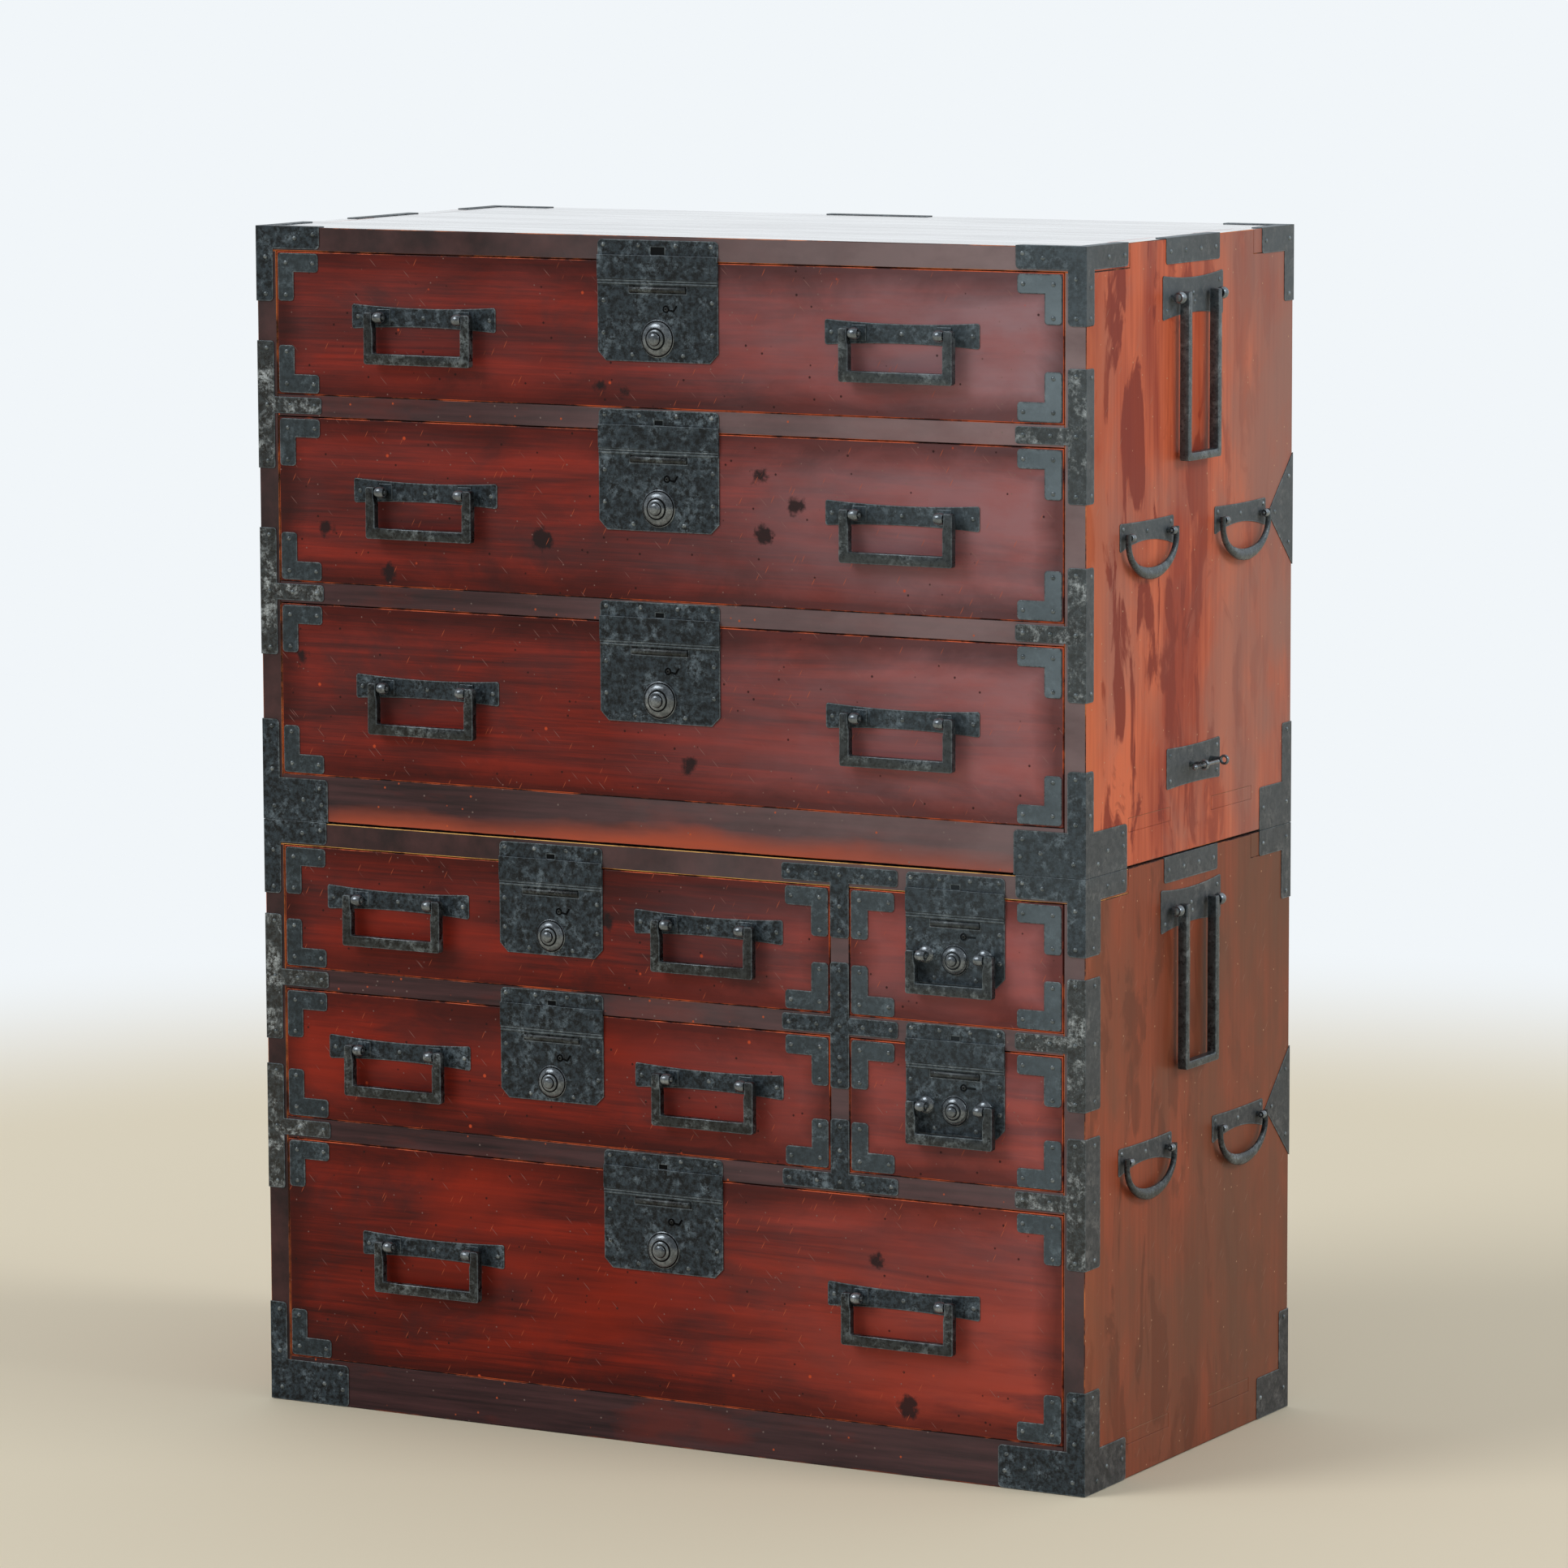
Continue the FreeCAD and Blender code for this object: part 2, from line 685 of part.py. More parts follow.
def around(centre, radius, sides):
    """Corners of a many-sided outline whose flats lie square to the axes."""
    turns = [math.radians(360 * (i + 1 / 2) / sides) for i in range(sides)]
    return [
        (f"{centre[0]} + ({math.cos(turn):.6f})*{radius}", f"{centre[1]} + ({math.sin(turn):.6f})*{radius}")
        for turn in turns
    ]


def clear_of(radius, sides):
    """Corner radius of a many-sided bore in which a pin of this radius turns freely."""
    return f"({radius} + running)/{math.cos(math.pi / sides):.6f}"


def forged_rod(name, start, radius, length, direction):
    """A hammered bar or bore with flat sides, from the middle of its first end."""
    bar = doc.addObject("Part::Prism", name)
    bar.Polygon = FORGED_SIDES
    bind(bar, "Circumradius", radius)
    bind(bar, "Height", length)
    return seat(bar, start, direction)


def eye_post(name, stand, eye, pin, base, washer=True):
    """An eye on a square shank, standing in front of the wood at the origin."""
    pieces = [
        slab(f"{name}_shank", ("-shank", f"-{stand}", "-shank"), ("2*shank", f"{stand} - {base}", "2*shank")),
        forged_rod(f"{name}_head", (f"-{eye}", f"-{stand}", "0"), eye, f"2*{eye}", ALONG_X),
    ]
    if washer:
        corner = ("-washer/2", f"-{base} - washer_depth", "-washer/2")
        pieces.append(slab(f"{name}_washer", corner, ("washer", "washer_depth", "washer")))
    forged = join(f"{name}_forging", pieces)
    hole = forged_rod(
        f"{name}_hole",
        (f"-{eye} - overrun", f"-{stand}", "0"),
        clear_of(pin, FORGED_SIDES),
        f"2*{eye} + 2*overrun",
        ALONG_X,
    )
    return cut(name, forged, [hole])


HOLLOW_SHARES = (-1, -0.5, 0, 0.5, 1)


def hollow_plate(name, length, end_height, upper_dip, lower_dip):
    """A back plate whose long edges are hollow, centred on the origin."""
    body = doc.addObject("PartDesign::Body", name)
    outline = sketch_on(body, f"{name}_outline", "XZ_Plane")
    upper = [
        (f"({share})*{length}/2", f"{end_height}/2 - {1 - share ** 2}*{upper_dip}")
        for share in reversed(HOLLOW_SHARES)
    ]
    lower = [
        (f"({share})*{length}/2", f"{1 - share ** 2}*{lower_dip} - {end_height}/2")
        for share in HOLLOW_SHARES
    ]
    draw_outline(outline, upper + lower)
    pad(body, f"{name}_sheet", outline, "plate")
    return body


def u_outline(width, drop, bar):
    """A bail bent from bar: two legs, two turned corners and a level grip."""
    bend = "2*bar_edge"
    inner = f"({width}/2 - {bar})"
    return [
        (f"-{width}/2", "leg_head"),
        (f"-{width}/2", f"{bend} - {drop}"),
        (f"{bend} - {width}/2", f"-{drop}"),
        (f"{width}/2 - {bend}", f"-{drop}"),
        (f"{width}/2", f"{bend} - {drop}"),
        (f"{width}/2", "leg_head"),
        (inner, "leg_head"),
        (inner, f"{bar} - {drop}"),
        (f"-{inner}", f"{bar} - {drop}"),
        (f"-{inner}", "leg_head"),
    ]


LOOP_SIDES = 6


def half_loop(width, drop):
    """Corners of a half oval that hangs between two upright heads."""
    neck = "(ring_eye + overrun)"
    corners = [(f"-{width}/2", "ring_head")]
    for i in range(LOOP_SIDES + 1):
        turn = math.pi * (1 + i / LOOP_SIDES)
        across = f"({math.cos(turn):.6f})*{width}/2"
        corners.append((across, f"({math.sin(turn):.6f})*({drop} - {neck}) - {neck}"))
    return corners + [(f"{width}/2", "ring_head")]


def ring_outline():
    """A bail like a half ring, thin at its heads and thick in the middle of its bow."""
    inside = half_loop("(ring_width - 2*ring_thin)", "(ring_drop - ring_thick)")
    return half_loop("ring_width", "ring_drop") + list(reversed(inside))


def bail(name, outline, depth, pin, pin_start, pin_length):
    """A bail that hangs from the origin, with a pin on the inner or outer face of each leg."""
    body = doc.addObject("PartDesign::Body", name)
    shape = sketch_on(body, f"{name}_outline", "XZ_Plane")
    draw_outline(shape, outline)
    pad(body, f"{name}_bar", shape, depth, midplane=True)
    end = sketch_on(body, f"{name}_pin_outline", "YZ_Plane", pin_start)
    draw_outline(end, around(("0", "0"), pin, FORGED_SIDES))
    pin_pad = pad(body, f"{name}_pin", end, pin_length)
    twin = body.newObject("PartDesign::Mirrored", f"{name}_pins")
    twin.Originals = [pin_pad]
    twin.MirrorPlane = (origin_plane(body, "YZ_Plane"), [""])
    body.Tip = twin
    return body


def inward_bail(name, outline, width, bar, depth, pin, eye):
    """A bail whose pins point at each other, through eyes between its legs."""
    reach = f"({bar}/2 + eye_play + 2*{eye} + overrun)"
    return bail(name, outline, depth, pin, f"-({width}/2 - {bar}/2)", reach)


BAILS = {
    size: inward_bail(
        f"front_bail{size}", u_outline(f"bail_width{size}", drop, "bar_width"),
        f"bail_width{size}", "bar_width", "bar_depth", "pin", "eye",
    )
    for size, drop in (("", "bail_drop"), ("_middle", "bail_drop"), ("_small", "bail_drop_small"))
}
RING_BAIL = inward_bail(
    "ring_bail", ring_outline(), "ring_width", "ring_thin", "ring_depth", "ring_pin", "ring_eye"
)
CARRY_BAIL = bail(
    "carry_bail", u_outline("carry_width", "carry_drop", "carry_bar"), "carry_depth", "pin",
    "carry_width/2 - carry_bar/2", "carry_pitch/2 - carry_width/2 + carry_bar/2 + carry_eye + overrun",
)
EYES = {
    "": eye_post("eye_drawer", "stand", "eye", "pin", "plate"),
    "_small": eye_post("eye_small", "stand", "eye", "pin", "lock_sheet"),
    "carry": eye_post("eye_carry", "carry_stand", "carry_eye", "pin", "plate"),
    "ring": eye_post("eye_ring", "ring_stand", "ring_eye", "ring_pin", "plate", washer=False),
}
GRIP_PLATE = hollow_plate("grip_plate_sheet", "grip_plate", "grip_plate_end", "waist_dip", "waist_dip")
CARRY_PLATE = hollow_plate("carry_plate_sheet", "carry_plate", "carry_plate_end", "waist_dip", "waist_dip")
RING_PLATE = hollow_plate("ring_plate_sheet", "ring_plate", "ring_plate_end", "plate", "ring_waist_dip")


def eye_pair(name, eye, pitch, at, turn):
    """Two eyes on one hinge line."""
    pair = group(
        f"{name}_pair",
        [group(f"{name}_{side}", [eye], (f"{sign}{pitch}/2", "0", "0")) for side, sign in (("a", "-"), ("b", ""))],
    )
    return group(name, [pair], at, turn)


RING_PITCH = "(ring_width - 2*ring_thin - 2*eye_play - 2*ring_eye)"
SIDES = {"right": (SIDE_X, ON_RIGHT), "left": (f"-{SIDE_X}", ON_LEFT)}
CARRY_Y = "case_depth/2"
RING_Y = {"front": "ring_front_y", "rear": "ring_back_y"}
CARRY_Z = {case: f"({CASES[case]['height']} - carry_{case})" for case in CASES}
RING_Z = {case: f"({CASES[case]['height']} - ring_{case})" for case in CASES}


def side_irons(case):
    """Back plates and eyes of the bails on both sides of a case."""
    irons = []
    for side, (x, turn) in SIDES.items():
        name = f"{case}_{side}"
        at = (x, CARRY_Y, CARRY_Z[case])
        irons.append(group(f"{name}_carry_plate", [CARRY_PLATE], at, turn))
        irons.append(eye_pair(f"{name}_carry_eyes", EYES["carry"], "carry_pitch", at, turn))
        for place, y in RING_Y.items():
            at = (x, y, RING_Z[case])
            irons.append(group(f"{name}_{place}_ring_plate", [RING_PLATE], at, turn))
            irons.append(eye_pair(f"{name}_{place}_ring_eyes", EYES["ring"], RING_PITCH, at, turn))
    return irons


def catch_irons():
    """The plate on the upper case with the two eyes that the sliding pin runs through."""
    forged = join(
        "catch_eye_forging",
        [
            slab(
                "catch_shank", ("-catch_eye_width/2", "-catch_stand", "-shank"),
                ("catch_eye_width", "catch_stand - plate", "2*shank"),
            ),
            forged_rod(
                "catch_disc", ("-catch_eye_width/2", "-catch_stand", "0"), "catch_eye",
                "catch_eye_width", ALONG_X,
            ),
        ],
    )
    hole = forged_rod(
        "catch_hole", ("-catch_eye_width/2 - overrun", "-catch_stand", "0"),
        clear_of("catch_pin", FORGED_SIDES), "catch_eye_width + 2*overrun", ALONG_X,
    )
    eye = cut("catch_eye", forged, [hole])
    irons = []
    for side, (x, turn) in SIDES.items():
        sheet_y = "catch_eye_y + catch_pitch/6"
        plate = slab(
            f"catch_sheet_{side}", ("-catch_plate/2", "-plate", "-catch_band/2"),
            ("catch_plate", "plate", "catch_band"),
        )
        irons.append(group(f"catch_plate_{side}", [plate], (x, sheet_y, "catch_rise"), turn))
        for number, y in enumerate(("catch_eye_y", "catch_eye_y + catch_pitch"), start=1):
            irons.append(group(f"catch_eye_{side}_{number}", [eye], (x, y, "catch_rise"), turn))
    return irons


# Drawers, their locks and their irons
MIDDLE_WIDTH = f"(divider_x - divider_post/2 + {INNER_X})"
SMALL_WIDTH = f"({INNER_X} - divider_x - divider_post/2)"
MIDDLE_X = f"((divider_x - divider_post/2 - {INNER_X})/2)"
SMALL_X = f"((divider_x + divider_post/2 + {INNER_X})/2)"
DRAWERS = {
    # name: (case, row, opening width, middle of the opening, size of its lock, has two bails)
    "drawer_top": ("upper", "top", INNER_WIDTH, "0", ""),
    "drawer_second": ("upper", "second", INNER_WIDTH, "0", ""),
    "drawer_third": ("upper", "third", INNER_WIDTH, "0", ""),
    "drawer_middle_upper": ("lower", "divided_upper", MIDDLE_WIDTH, MIDDLE_X, "_middle"),
    "drawer_middle_lower": ("lower", "divided_lower", MIDDLE_WIDTH, MIDDLE_X, "_middle"),
    "drawer_small_upper": ("lower", "divided_upper", SMALL_WIDTH, SMALL_X, "_small"),
    "drawer_small_lower": ("lower", "divided_lower", SMALL_WIDTH, SMALL_X, "_small"),
    "drawer_bottom": ("lower", "bottom", INNER_WIDTH, "0", ""),
}
PLUG_SHARE = 0.5
COLLAR_SHARE = 0.78
BOSS_SIDES = 12


def plug_radius(size):
    return f"({PLUG_SHARE}*boss{size})"


def lock_slot(size):
    return "slot_length_small" if size == "_small" else "slot_length"


def lock_plate(size):
    """A lock plate, drawn with the top of the drawer front at the origin's height."""
    name = f"lock_plate{size}"
    body = doc.addObject("PartDesign::Body", name)
    half = f"lock_width{size}/2"
    foot = f"-lock_height{size}"
    outline = sketch_on(body, f"{name}_outline", "XZ_Plane")
    draw_outline(
        outline,
        [
            (f"-{half}", "-drawer_gap"),
            (f"-{half}", f"{foot} + lock_corner"),
            (f"-{half} + lock_corner", foot),
            (f"{half} - lock_corner", foot),
            (half, f"{foot} + lock_corner"),
            (half, "-drawer_gap"),
        ],
    )
    pad(body, f"{name}_sheet", outline, "lock_sheet")
    band = sketch_on(body, f"{name}_band_outline", "XZ_Plane", "lock_sheet")
    draw_outline(
        band,
        [
            (f"-{half}", "lock_lip"),
            (f"-{half}", "-lock_band"),
            (half, "-lock_band"),
            (half, "lock_lip"),
        ],
    )
    pad(body, f"{name}_band", band, "lock_band_sheet")
    boss_centre = ("0", f"-boss_drop{size}")
    for step, radius, height in (
        ("rim", f"boss{size}", "boss_height/2"),
        ("collar", f"({COLLAR_SHARE}*boss{size})", "boss_height"),
    ):
        ring = sketch_on(body, f"{name}_{step}_outline", "XZ_Plane", "lock_sheet")
        draw_outline(ring, around(boss_centre, radius, BOSS_SIDES))
        pad(body, f"{name}_{step}", ring, height)
    key_drop = "keyhole_drop_small" if size == "_small" else "keyhole_drop"
    reach = f"{lock_slot(size)}/2"
    holes = {
        "bore": around(boss_centre, f"({plug_radius(size)} + running)", BOSS_SIDES),
        "slot": [
            (f"-{reach}", "-slot_drop - slot_height/2"),
            (reach, "-slot_drop - slot_height/2"),
            (reach, "-slot_drop + slot_height/2"),
            (f"-{reach}", "-slot_drop + slot_height/2"),
        ],
        "keyhole": around(("keyhole_side", f"-{key_drop}"), "keyhole", FORGED_SIDES),
    }
    for hole, corners in holes.items():
        opening = sketch_on(body, f"{name}_{hole}_outline", "XZ_Plane")
        draw_outline(opening, corners)
        pocket(body, f"{name}_{hole}", opening, "2*(lock_sheet + boss_height + overrun)")
    return body


BAR_SIDES = 6


def latch_bar(size):
    """The half-round bar that lies in the lock plate's slot."""
    body = doc.addObject("PartDesign::Body", f"latch_bar{size}")
    radius = "(slot_height/2 - running)"
    turns = [math.pi * i / BAR_SIDES for i in range(BAR_SIDES + 1)]
    corners = [
        (f"-({math.sin(turn):.6f})*{radius}", f"({math.cos(turn):.6f})*{radius} - slot_drop")
        for turn in turns
    ]
    outline = sketch_on(body, f"latch_bar{size}_outline", "YZ_Plane")
    draw_outline(outline, corners)
    pad(body, f"latch_bar{size}_length", outline, f"{lock_slot(size)} - 2*running", midplane=True)
    return body


def lock_button(size):
    """The stepped button in the lock's boss, with its stem that runs into the drawer front."""
    name = f"button{size}"
    body = doc.addObject("PartDesign::Body", name)
    back = "(plug_travel + drawer_lift)"
    face = "(lock_sheet + boss_height + plug_height)"
    steps = {
        "plug": (plug_radius(size), back, f"{face} - plug_travel - {back}", BOSS_SIDES),
        "crown": (
            f"{PLUG_SHARE}*{plug_radius(size)}", f"{face} - plug_travel", "plug_travel", BOSS_SIDES
        ),
        "stem": (
            "plug_stem", "overrun + plug_travel - front_board", f"front_board - overrun + drawer_lift",
            FORGED_SIDES,
        ),
    }
    for step, (radius, start, length, sides) in steps.items():
        outline = sketch_on(body, f"{name}_{step}_outline", "XZ_Plane", start)
        draw_outline(outline, around(("0", "0"), radius, sides))
        pad(body, f"{name}_{step}", outline, length)
    return body


LOCKS = {size: [lock_plate(size), latch_bar(size)] for size in ("", "_middle", "_small")}
BUTTONS = {size: lock_button(size) for size in ("", "_middle", "_small")}
ELL = join(
    "corner_ell",
    [
        slab("corner_ell_arm", ("0", "-plate", "0"), ("ell_arm", "plate", "ell_band")),
        slab("corner_ell_leg", ("0", "-plate", "0"), ("ell_band", "plate", "ell_arm")),
    ],
)


def drawer_box(name, row, width, size):
    """Front, sides, back and floor of a drawer, with the floor of its opening at the origin's height."""
    opening = f"opening_{row}"
    front_width = f"({width} - 2*drawer_gap)"
    front_height = f"({opening} - drawer_lift - drawer_gap)"
    wall_height = f"({front_height} - drawer_headroom)"
    length = "(case_depth - back_board - drawer_stop - front_board)"
    front = cut(
        f"{name}_front",
        slab(
            f"{name}_front_blank",
            (f"-{front_width}/2", "0", "drawer_lift"),
            (front_width, "front_board", front_height),
        ),
        [
            forged_rod(
                f"{name}_stem_bore", ("0", "front_board + overrun", f"{opening} - boss_drop{size}"),
                clear_of("plug_stem", FORGED_SIDES), "front_board + 2*overrun", TO_FRONT,
            )
        ],
    )
    wall = slab(
        f"{name}_side",
        (f"{front_width}/2 - drawer_side", "front_board", "drawer_lift"),
        ("drawer_side", length, wall_height),
    )
    back = slab(
        f"{name}_back",
        (f"drawer_side - {front_width}/2", f"front_board + {length} - drawer_side", "drawer_lift"),
        (f"{front_width} - 2*drawer_side", "drawer_side", wall_height),
    )
    floor = slab(
        f"{name}_floor",
        (f"drawer_side - {front_width}/2", "front_board", "drawer_lift"),
        (f"{front_width} - 2*drawer_side", f"{length} - drawer_side", "drawer_floor"),
    )
    return [front] + both_sides(f"{name}_side", wall) + [back, floor]


def corner_plates(name, row, width):
    """Four L-shaped plates, one in each corner of a drawer front."""
    reach = f"{width}/2 - drawer_gap - ell_inset"
    low = "drawer_lift + ell_inset"
    high = f"opening_{row} - drawer_gap - ell_inset"
    corners = {
        "foot_left": (f"-({reach})", low, UPRIGHT),
        "foot_right": (reach, low, TIPPED_LEFT),
        "head_right": (reach, high, TIPPED_OVER),
        "head_left": (f"-({reach})", high, TIPPED_RIGHT),
    }
    return [
        group(f"{name}_ell_{corner}", [ELL], (x, "0", z), turn)
        for corner, (x, z, turn) in corners.items()
    ]


# How far the handles stand from the drawer's middle, as shares of its width
GRIP_SHARES = {"": 0.3037, "_middle": 0.2842}


def grips(row, width, size):
    """Name, middle and hinge height of each handle on a drawer."""
    if size == "_small":
        return {"": ("0", f"opening_{row} - grip_drop_small")}
    spread = f"{GRIP_SHARES[size]}*{width}"
    hinge = f"opening_{row} - grip_drop_{row}"
    return {"_left": (f"-{spread}", hinge), "_right": (spread, hinge)}


for case, frame in CASES.items():
    height = frame["height"]
    base = ("0", "0", frame["base"])
    node(f"{case}_carcass", case_boards(case, height), base)
    rails = case_rails(case, frame["rows"])
    node(f"{case}_rails", rails + (divider() if case == "lower" else []), base)
    node(f"{case}_back_boards", back_boards(case, height), base)

RAIL_SHEETS = {"upper": [], "lower": []}
for name, (case, row, width, centre, size) in DRAWERS.items():
    floor = f"{CASES[case]['base']} + {CASES[case]['rows'][row]}"
    at = (centre, "0", floor)
    top = f"opening_{row}"
    bail_width = f"bail_width{size}"
    node(name, drawer_box(name, row, width, size), at)
    irons = corner_plates(name, row, width)
    irons.append(group(f"{name}_lock", LOCKS[size], ("0", "0", top)))
    RAIL_SHEETS[case].append(
        slab(
            f"{name}_rail_sheet",
            (f"{centre} - lock_width{size}/2", "-rail_sheet", f"{CASES[case]['rows'][row]} + {top}"),
            (f"lock_width{size}", "rail_sheet", "rail_sheet_height"),
        )
    )
    pitch = f"({bail_width} - 2*bar_width - 2*eye_play - 2*eye)"
    eye = EYES["_small" if size == "_small" else ""]
    for grip, (x, z) in grips(row, width, size).items():
        if size != "_small":
            irons.append(group(f"{name}_grip_plate{grip}", [GRIP_PLATE], (x, "0", z)))
        irons.append(eye_pair(f"{name}_eyes{grip}", eye, pitch, (x, "0", z), UPRIGHT))
        hinge = (f"{centre} + {x}", "-stand", f"{floor} + {z}")
        node(name.replace("drawer", "bail") + grip, [BAILS[size]], hinge)
    node(f"{name}_irons", irons, at)
    node(
        name.replace("drawer", "lock_button"), [BUTTONS[size]],
        (centre, "0", f"{floor} + {top} - boss_drop{size}"),
    )

for case, frame in CASES.items():
    height = frame["height"]
    side_band = f"side_band_{case}"
    rows = frame["rows"]
    irons = []
    base_arm = "base_arm" if case == "upper" else "foot_arm"
    right_irons = [
        front_corner(f"{case}_top_corner", case, True, "top_arm", "top_band", "top_leg", side_band),
        front_corner(f"{case}_base_corner", case, False, base_arm, "base_band", "base_leg", side_band),
        rear_corner(f"{case}_top_rear_corner", case, True, "edge_plate_band", "top_leg"),
        rear_corner(f"{case}_base_rear_corner", case, False, "base_band", "base_leg"),
    ]
    for row in list(rows)[1:]:
        right_irons.append(strap(f"{case}_strap_{row}", f"{rows[row]} - rail/2", side_band))
    for iron in right_irons:
        irons += both_sides(iron.Name, iron)
    irons += edge_plates(case, height) + triangles(case, height) + side_irons(case)
    irons += RAIL_SHEETS[case]
    irons += catch_irons() if case == "upper" else divider_irons()
    node(f"{case}_irons", irons, ("0", "0", frame["base"]))
    for side, (x, turn) in SIDES.items():
        outward = "" if side == "right" else "-"
        hinge_z = f"{frame['base']} + {CARRY_Z[case]}"
        at = (f"{x} + {outward}carry_stand", CARRY_Y, hinge_z)
        node(f"carry_bail_{case}_{side}", [CARRY_BAIL], at, turn)
        for place, y in RING_Y.items():
            at = (f"{x} + {outward}ring_stand", y, f"{frame['base']} + {RING_Z[case]}")
            node(f"ring_bail_{case}_{side}_{place}", [RING_BAIL], at, turn)

for side, (x, turn) in SIDES.items():
    outward = "" if side == "right" else "-"
    pin = forged_rod(
        f"catch_pin_bar_{side}", ("-catch_pin_length/2", "0", "0"), "catch_pin", "catch_pin_length", ALONG_X
    )
    at = (f"{x} + {outward}catch_stand", CARRY_Y, f"{CASES['upper']['base']} + catch_rise")
    node(f"catch_pin_{side}", [pin], at, turn)

doc.recompute()
faults = [
    f"{piece.Label}: {piece.State}"
    for piece in doc.Objects
    if "Invalid" in piece.State or "Error" in piece.State
]
for part in NODES:
    if part.Shape.isNull() or not part.Shape.isValid() or not part.Shape.Solids:
        faults.append(f"{part.Label}: shape is empty or not valid")
if faults:
    raise RuntimeError("\n".join(faults))

os.makedirs("parts", exist_ok=True)
for part in NODES:
    part.Shape.exportStep(f"parts/{part.Label}.step")
print(len(NODES), "sub-parts,", sum(len(part.Shape.Solids) for part in NODES), "solids")
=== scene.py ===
import math

import bmesh
import bpy
from mathutils import Matrix, Vector


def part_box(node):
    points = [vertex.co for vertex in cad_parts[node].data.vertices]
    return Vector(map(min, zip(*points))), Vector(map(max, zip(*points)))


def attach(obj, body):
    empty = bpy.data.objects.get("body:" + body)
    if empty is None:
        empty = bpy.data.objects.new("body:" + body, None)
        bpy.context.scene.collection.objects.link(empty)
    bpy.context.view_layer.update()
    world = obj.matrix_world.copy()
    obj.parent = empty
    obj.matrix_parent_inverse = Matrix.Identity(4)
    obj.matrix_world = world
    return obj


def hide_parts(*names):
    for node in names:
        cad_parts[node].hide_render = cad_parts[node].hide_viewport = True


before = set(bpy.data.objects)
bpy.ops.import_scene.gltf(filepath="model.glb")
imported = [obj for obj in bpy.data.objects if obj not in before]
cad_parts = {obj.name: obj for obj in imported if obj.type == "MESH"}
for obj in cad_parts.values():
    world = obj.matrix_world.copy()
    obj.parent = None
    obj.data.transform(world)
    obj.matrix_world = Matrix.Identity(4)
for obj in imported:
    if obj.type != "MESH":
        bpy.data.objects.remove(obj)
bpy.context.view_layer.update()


# The case boards. Each case is a box of softwood, its boards locked together at the corners by
# fingers, with the floor's tenons through the sides. Outside they are lacquered red-brown, gone dark
# on the front edges under painted sheen, hazy and streaked on the sides, the haze partly painted
# reflection of the wall; inside they are bare.
MM = 0.001
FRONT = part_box("drawer_top")[0].y
HALF_WIDTH, INSIDE, DEPTH, CASE_HEIGHT = 450, 428, 440, 578
TOP_BOARD, BASE_RAIL, FLOOR_BOARD, RAIL_DEPTH = 23, 45, 13, 30
FINGER = DEPTH / 5
CASES = {"lower": 0, "upper": 580}


def tint(red, green, blue):
    """A colour as read from a photograph, in the values that a shader takes."""
    return tuple((c / 255) ** 2.2 for c in (red, green, blue)) + (1.0,)


def wire(tree, node, sockets):
    """Gives a node's sockets their values, or joins them to other nodes' outputs."""
    for key, value in sockets.items():
        if isinstance(value, bpy.types.NodeSocket):
            tree.links.new(value, node.inputs[key])
        else:
            node.inputs[key].default_value = value


def add(tree, kind, sockets=None, **settings):
    """A new shader node, with its settings and its sockets."""
    node = tree.nodes.new(kind)
    for name, value in settings.items():
        setattr(node, name, value)
    wire(tree, node, sockets or {})
    return node


def new_finish(name):
    """A material, its node tree, its shader and its place coordinates."""
    finish = bpy.data.materials.new(name)
    finish.use_nodes = True
    tree = finish.node_tree
    place = add(tree, "ShaderNodeTexCoord").outputs["Object"]
    return finish, tree, tree.nodes["Principled BSDF"], place


def stretched(tree, place, scale, shift=(0, 0, 0)):
    """Place coordinates drawn out along the grain."""
    return add(tree, "ShaderNodeMapping", {"Vector": place, "Scale": scale, "Location": shift}).outputs[0]


def clouds(tree, place, scale, detail=4.0, roughness=0.55, distortion=0.0):
    sockets = {"Vector": place, "Scale": scale, "Detail": detail, "Roughness": roughness, "Distortion": distortion}
    return add(tree, "ShaderNodeTexNoise", sockets).outputs["Fac"]


def steps(tree, value, stops):
    """Turns a value into a colour through named stops."""
    ramp = add(tree, "ShaderNodeValToRGB", {"Fac": value})
    points = ramp.color_ramp.elements
    for place, colour in stops[2:]:
        points.new(place)
    for point, (place, colour) in zip(points, sorted(stops, key=lambda stop: stop[0])):
        point.position = place
        point.color = colour
    return ramp.outputs["Color"]


def rise(tree, value, low, high, start=0.0, end=1.0):
    """A value carried from one range to another, held at both ends."""
    sockets = {"Value": value, "From Min": low, "From Max": high, "To Min": start, "To Max": end}
    return add(tree, "ShaderNodeMapRange", sockets).outputs["Result"]


def both(tree, first, second, operation="MULTIPLY"):
    return add(tree, "ShaderNodeMath", {0: first, 1: second}, operation=operation).outputs[0]


def axes(tree, place):
    """A place's distances: X across the chest, Y from front to back and Z up."""
    return add(tree, "ShaderNodeSeparateXYZ", {"Vector": place}).outputs


def mingled(tree, first, second, share):
    """Two patterns added up, the first by its share and the second by the rest."""
    return both(tree, both(tree, first, share), both(tree, second, 1 - share), "ADD")


def lay_over(tree, share, under, over):
    """One colour laid over another where the share says."""
    return add(tree, "ShaderNodeMix", {"Factor": share, "A": under, "B": over}, data_type="RGBA").outputs["Result"]


def skin(tree, shader, colour, roughness, specular=0.5, grain=None, relief=0.15, depth=0.0005):
    """Gives a finish its colour, its roughness, its shine and the relief of its grain."""
    wire(tree, shader, {"Base Color": colour, "Roughness": roughness, "Specular IOR Level": specular})
    if grain is not None:
        bump = add(tree, "ShaderNodeBump", {"Strength": relief, "Distance": depth, "Height": grain})
        tree.links.new(bump.outputs[0], shader.inputs["Normal"])


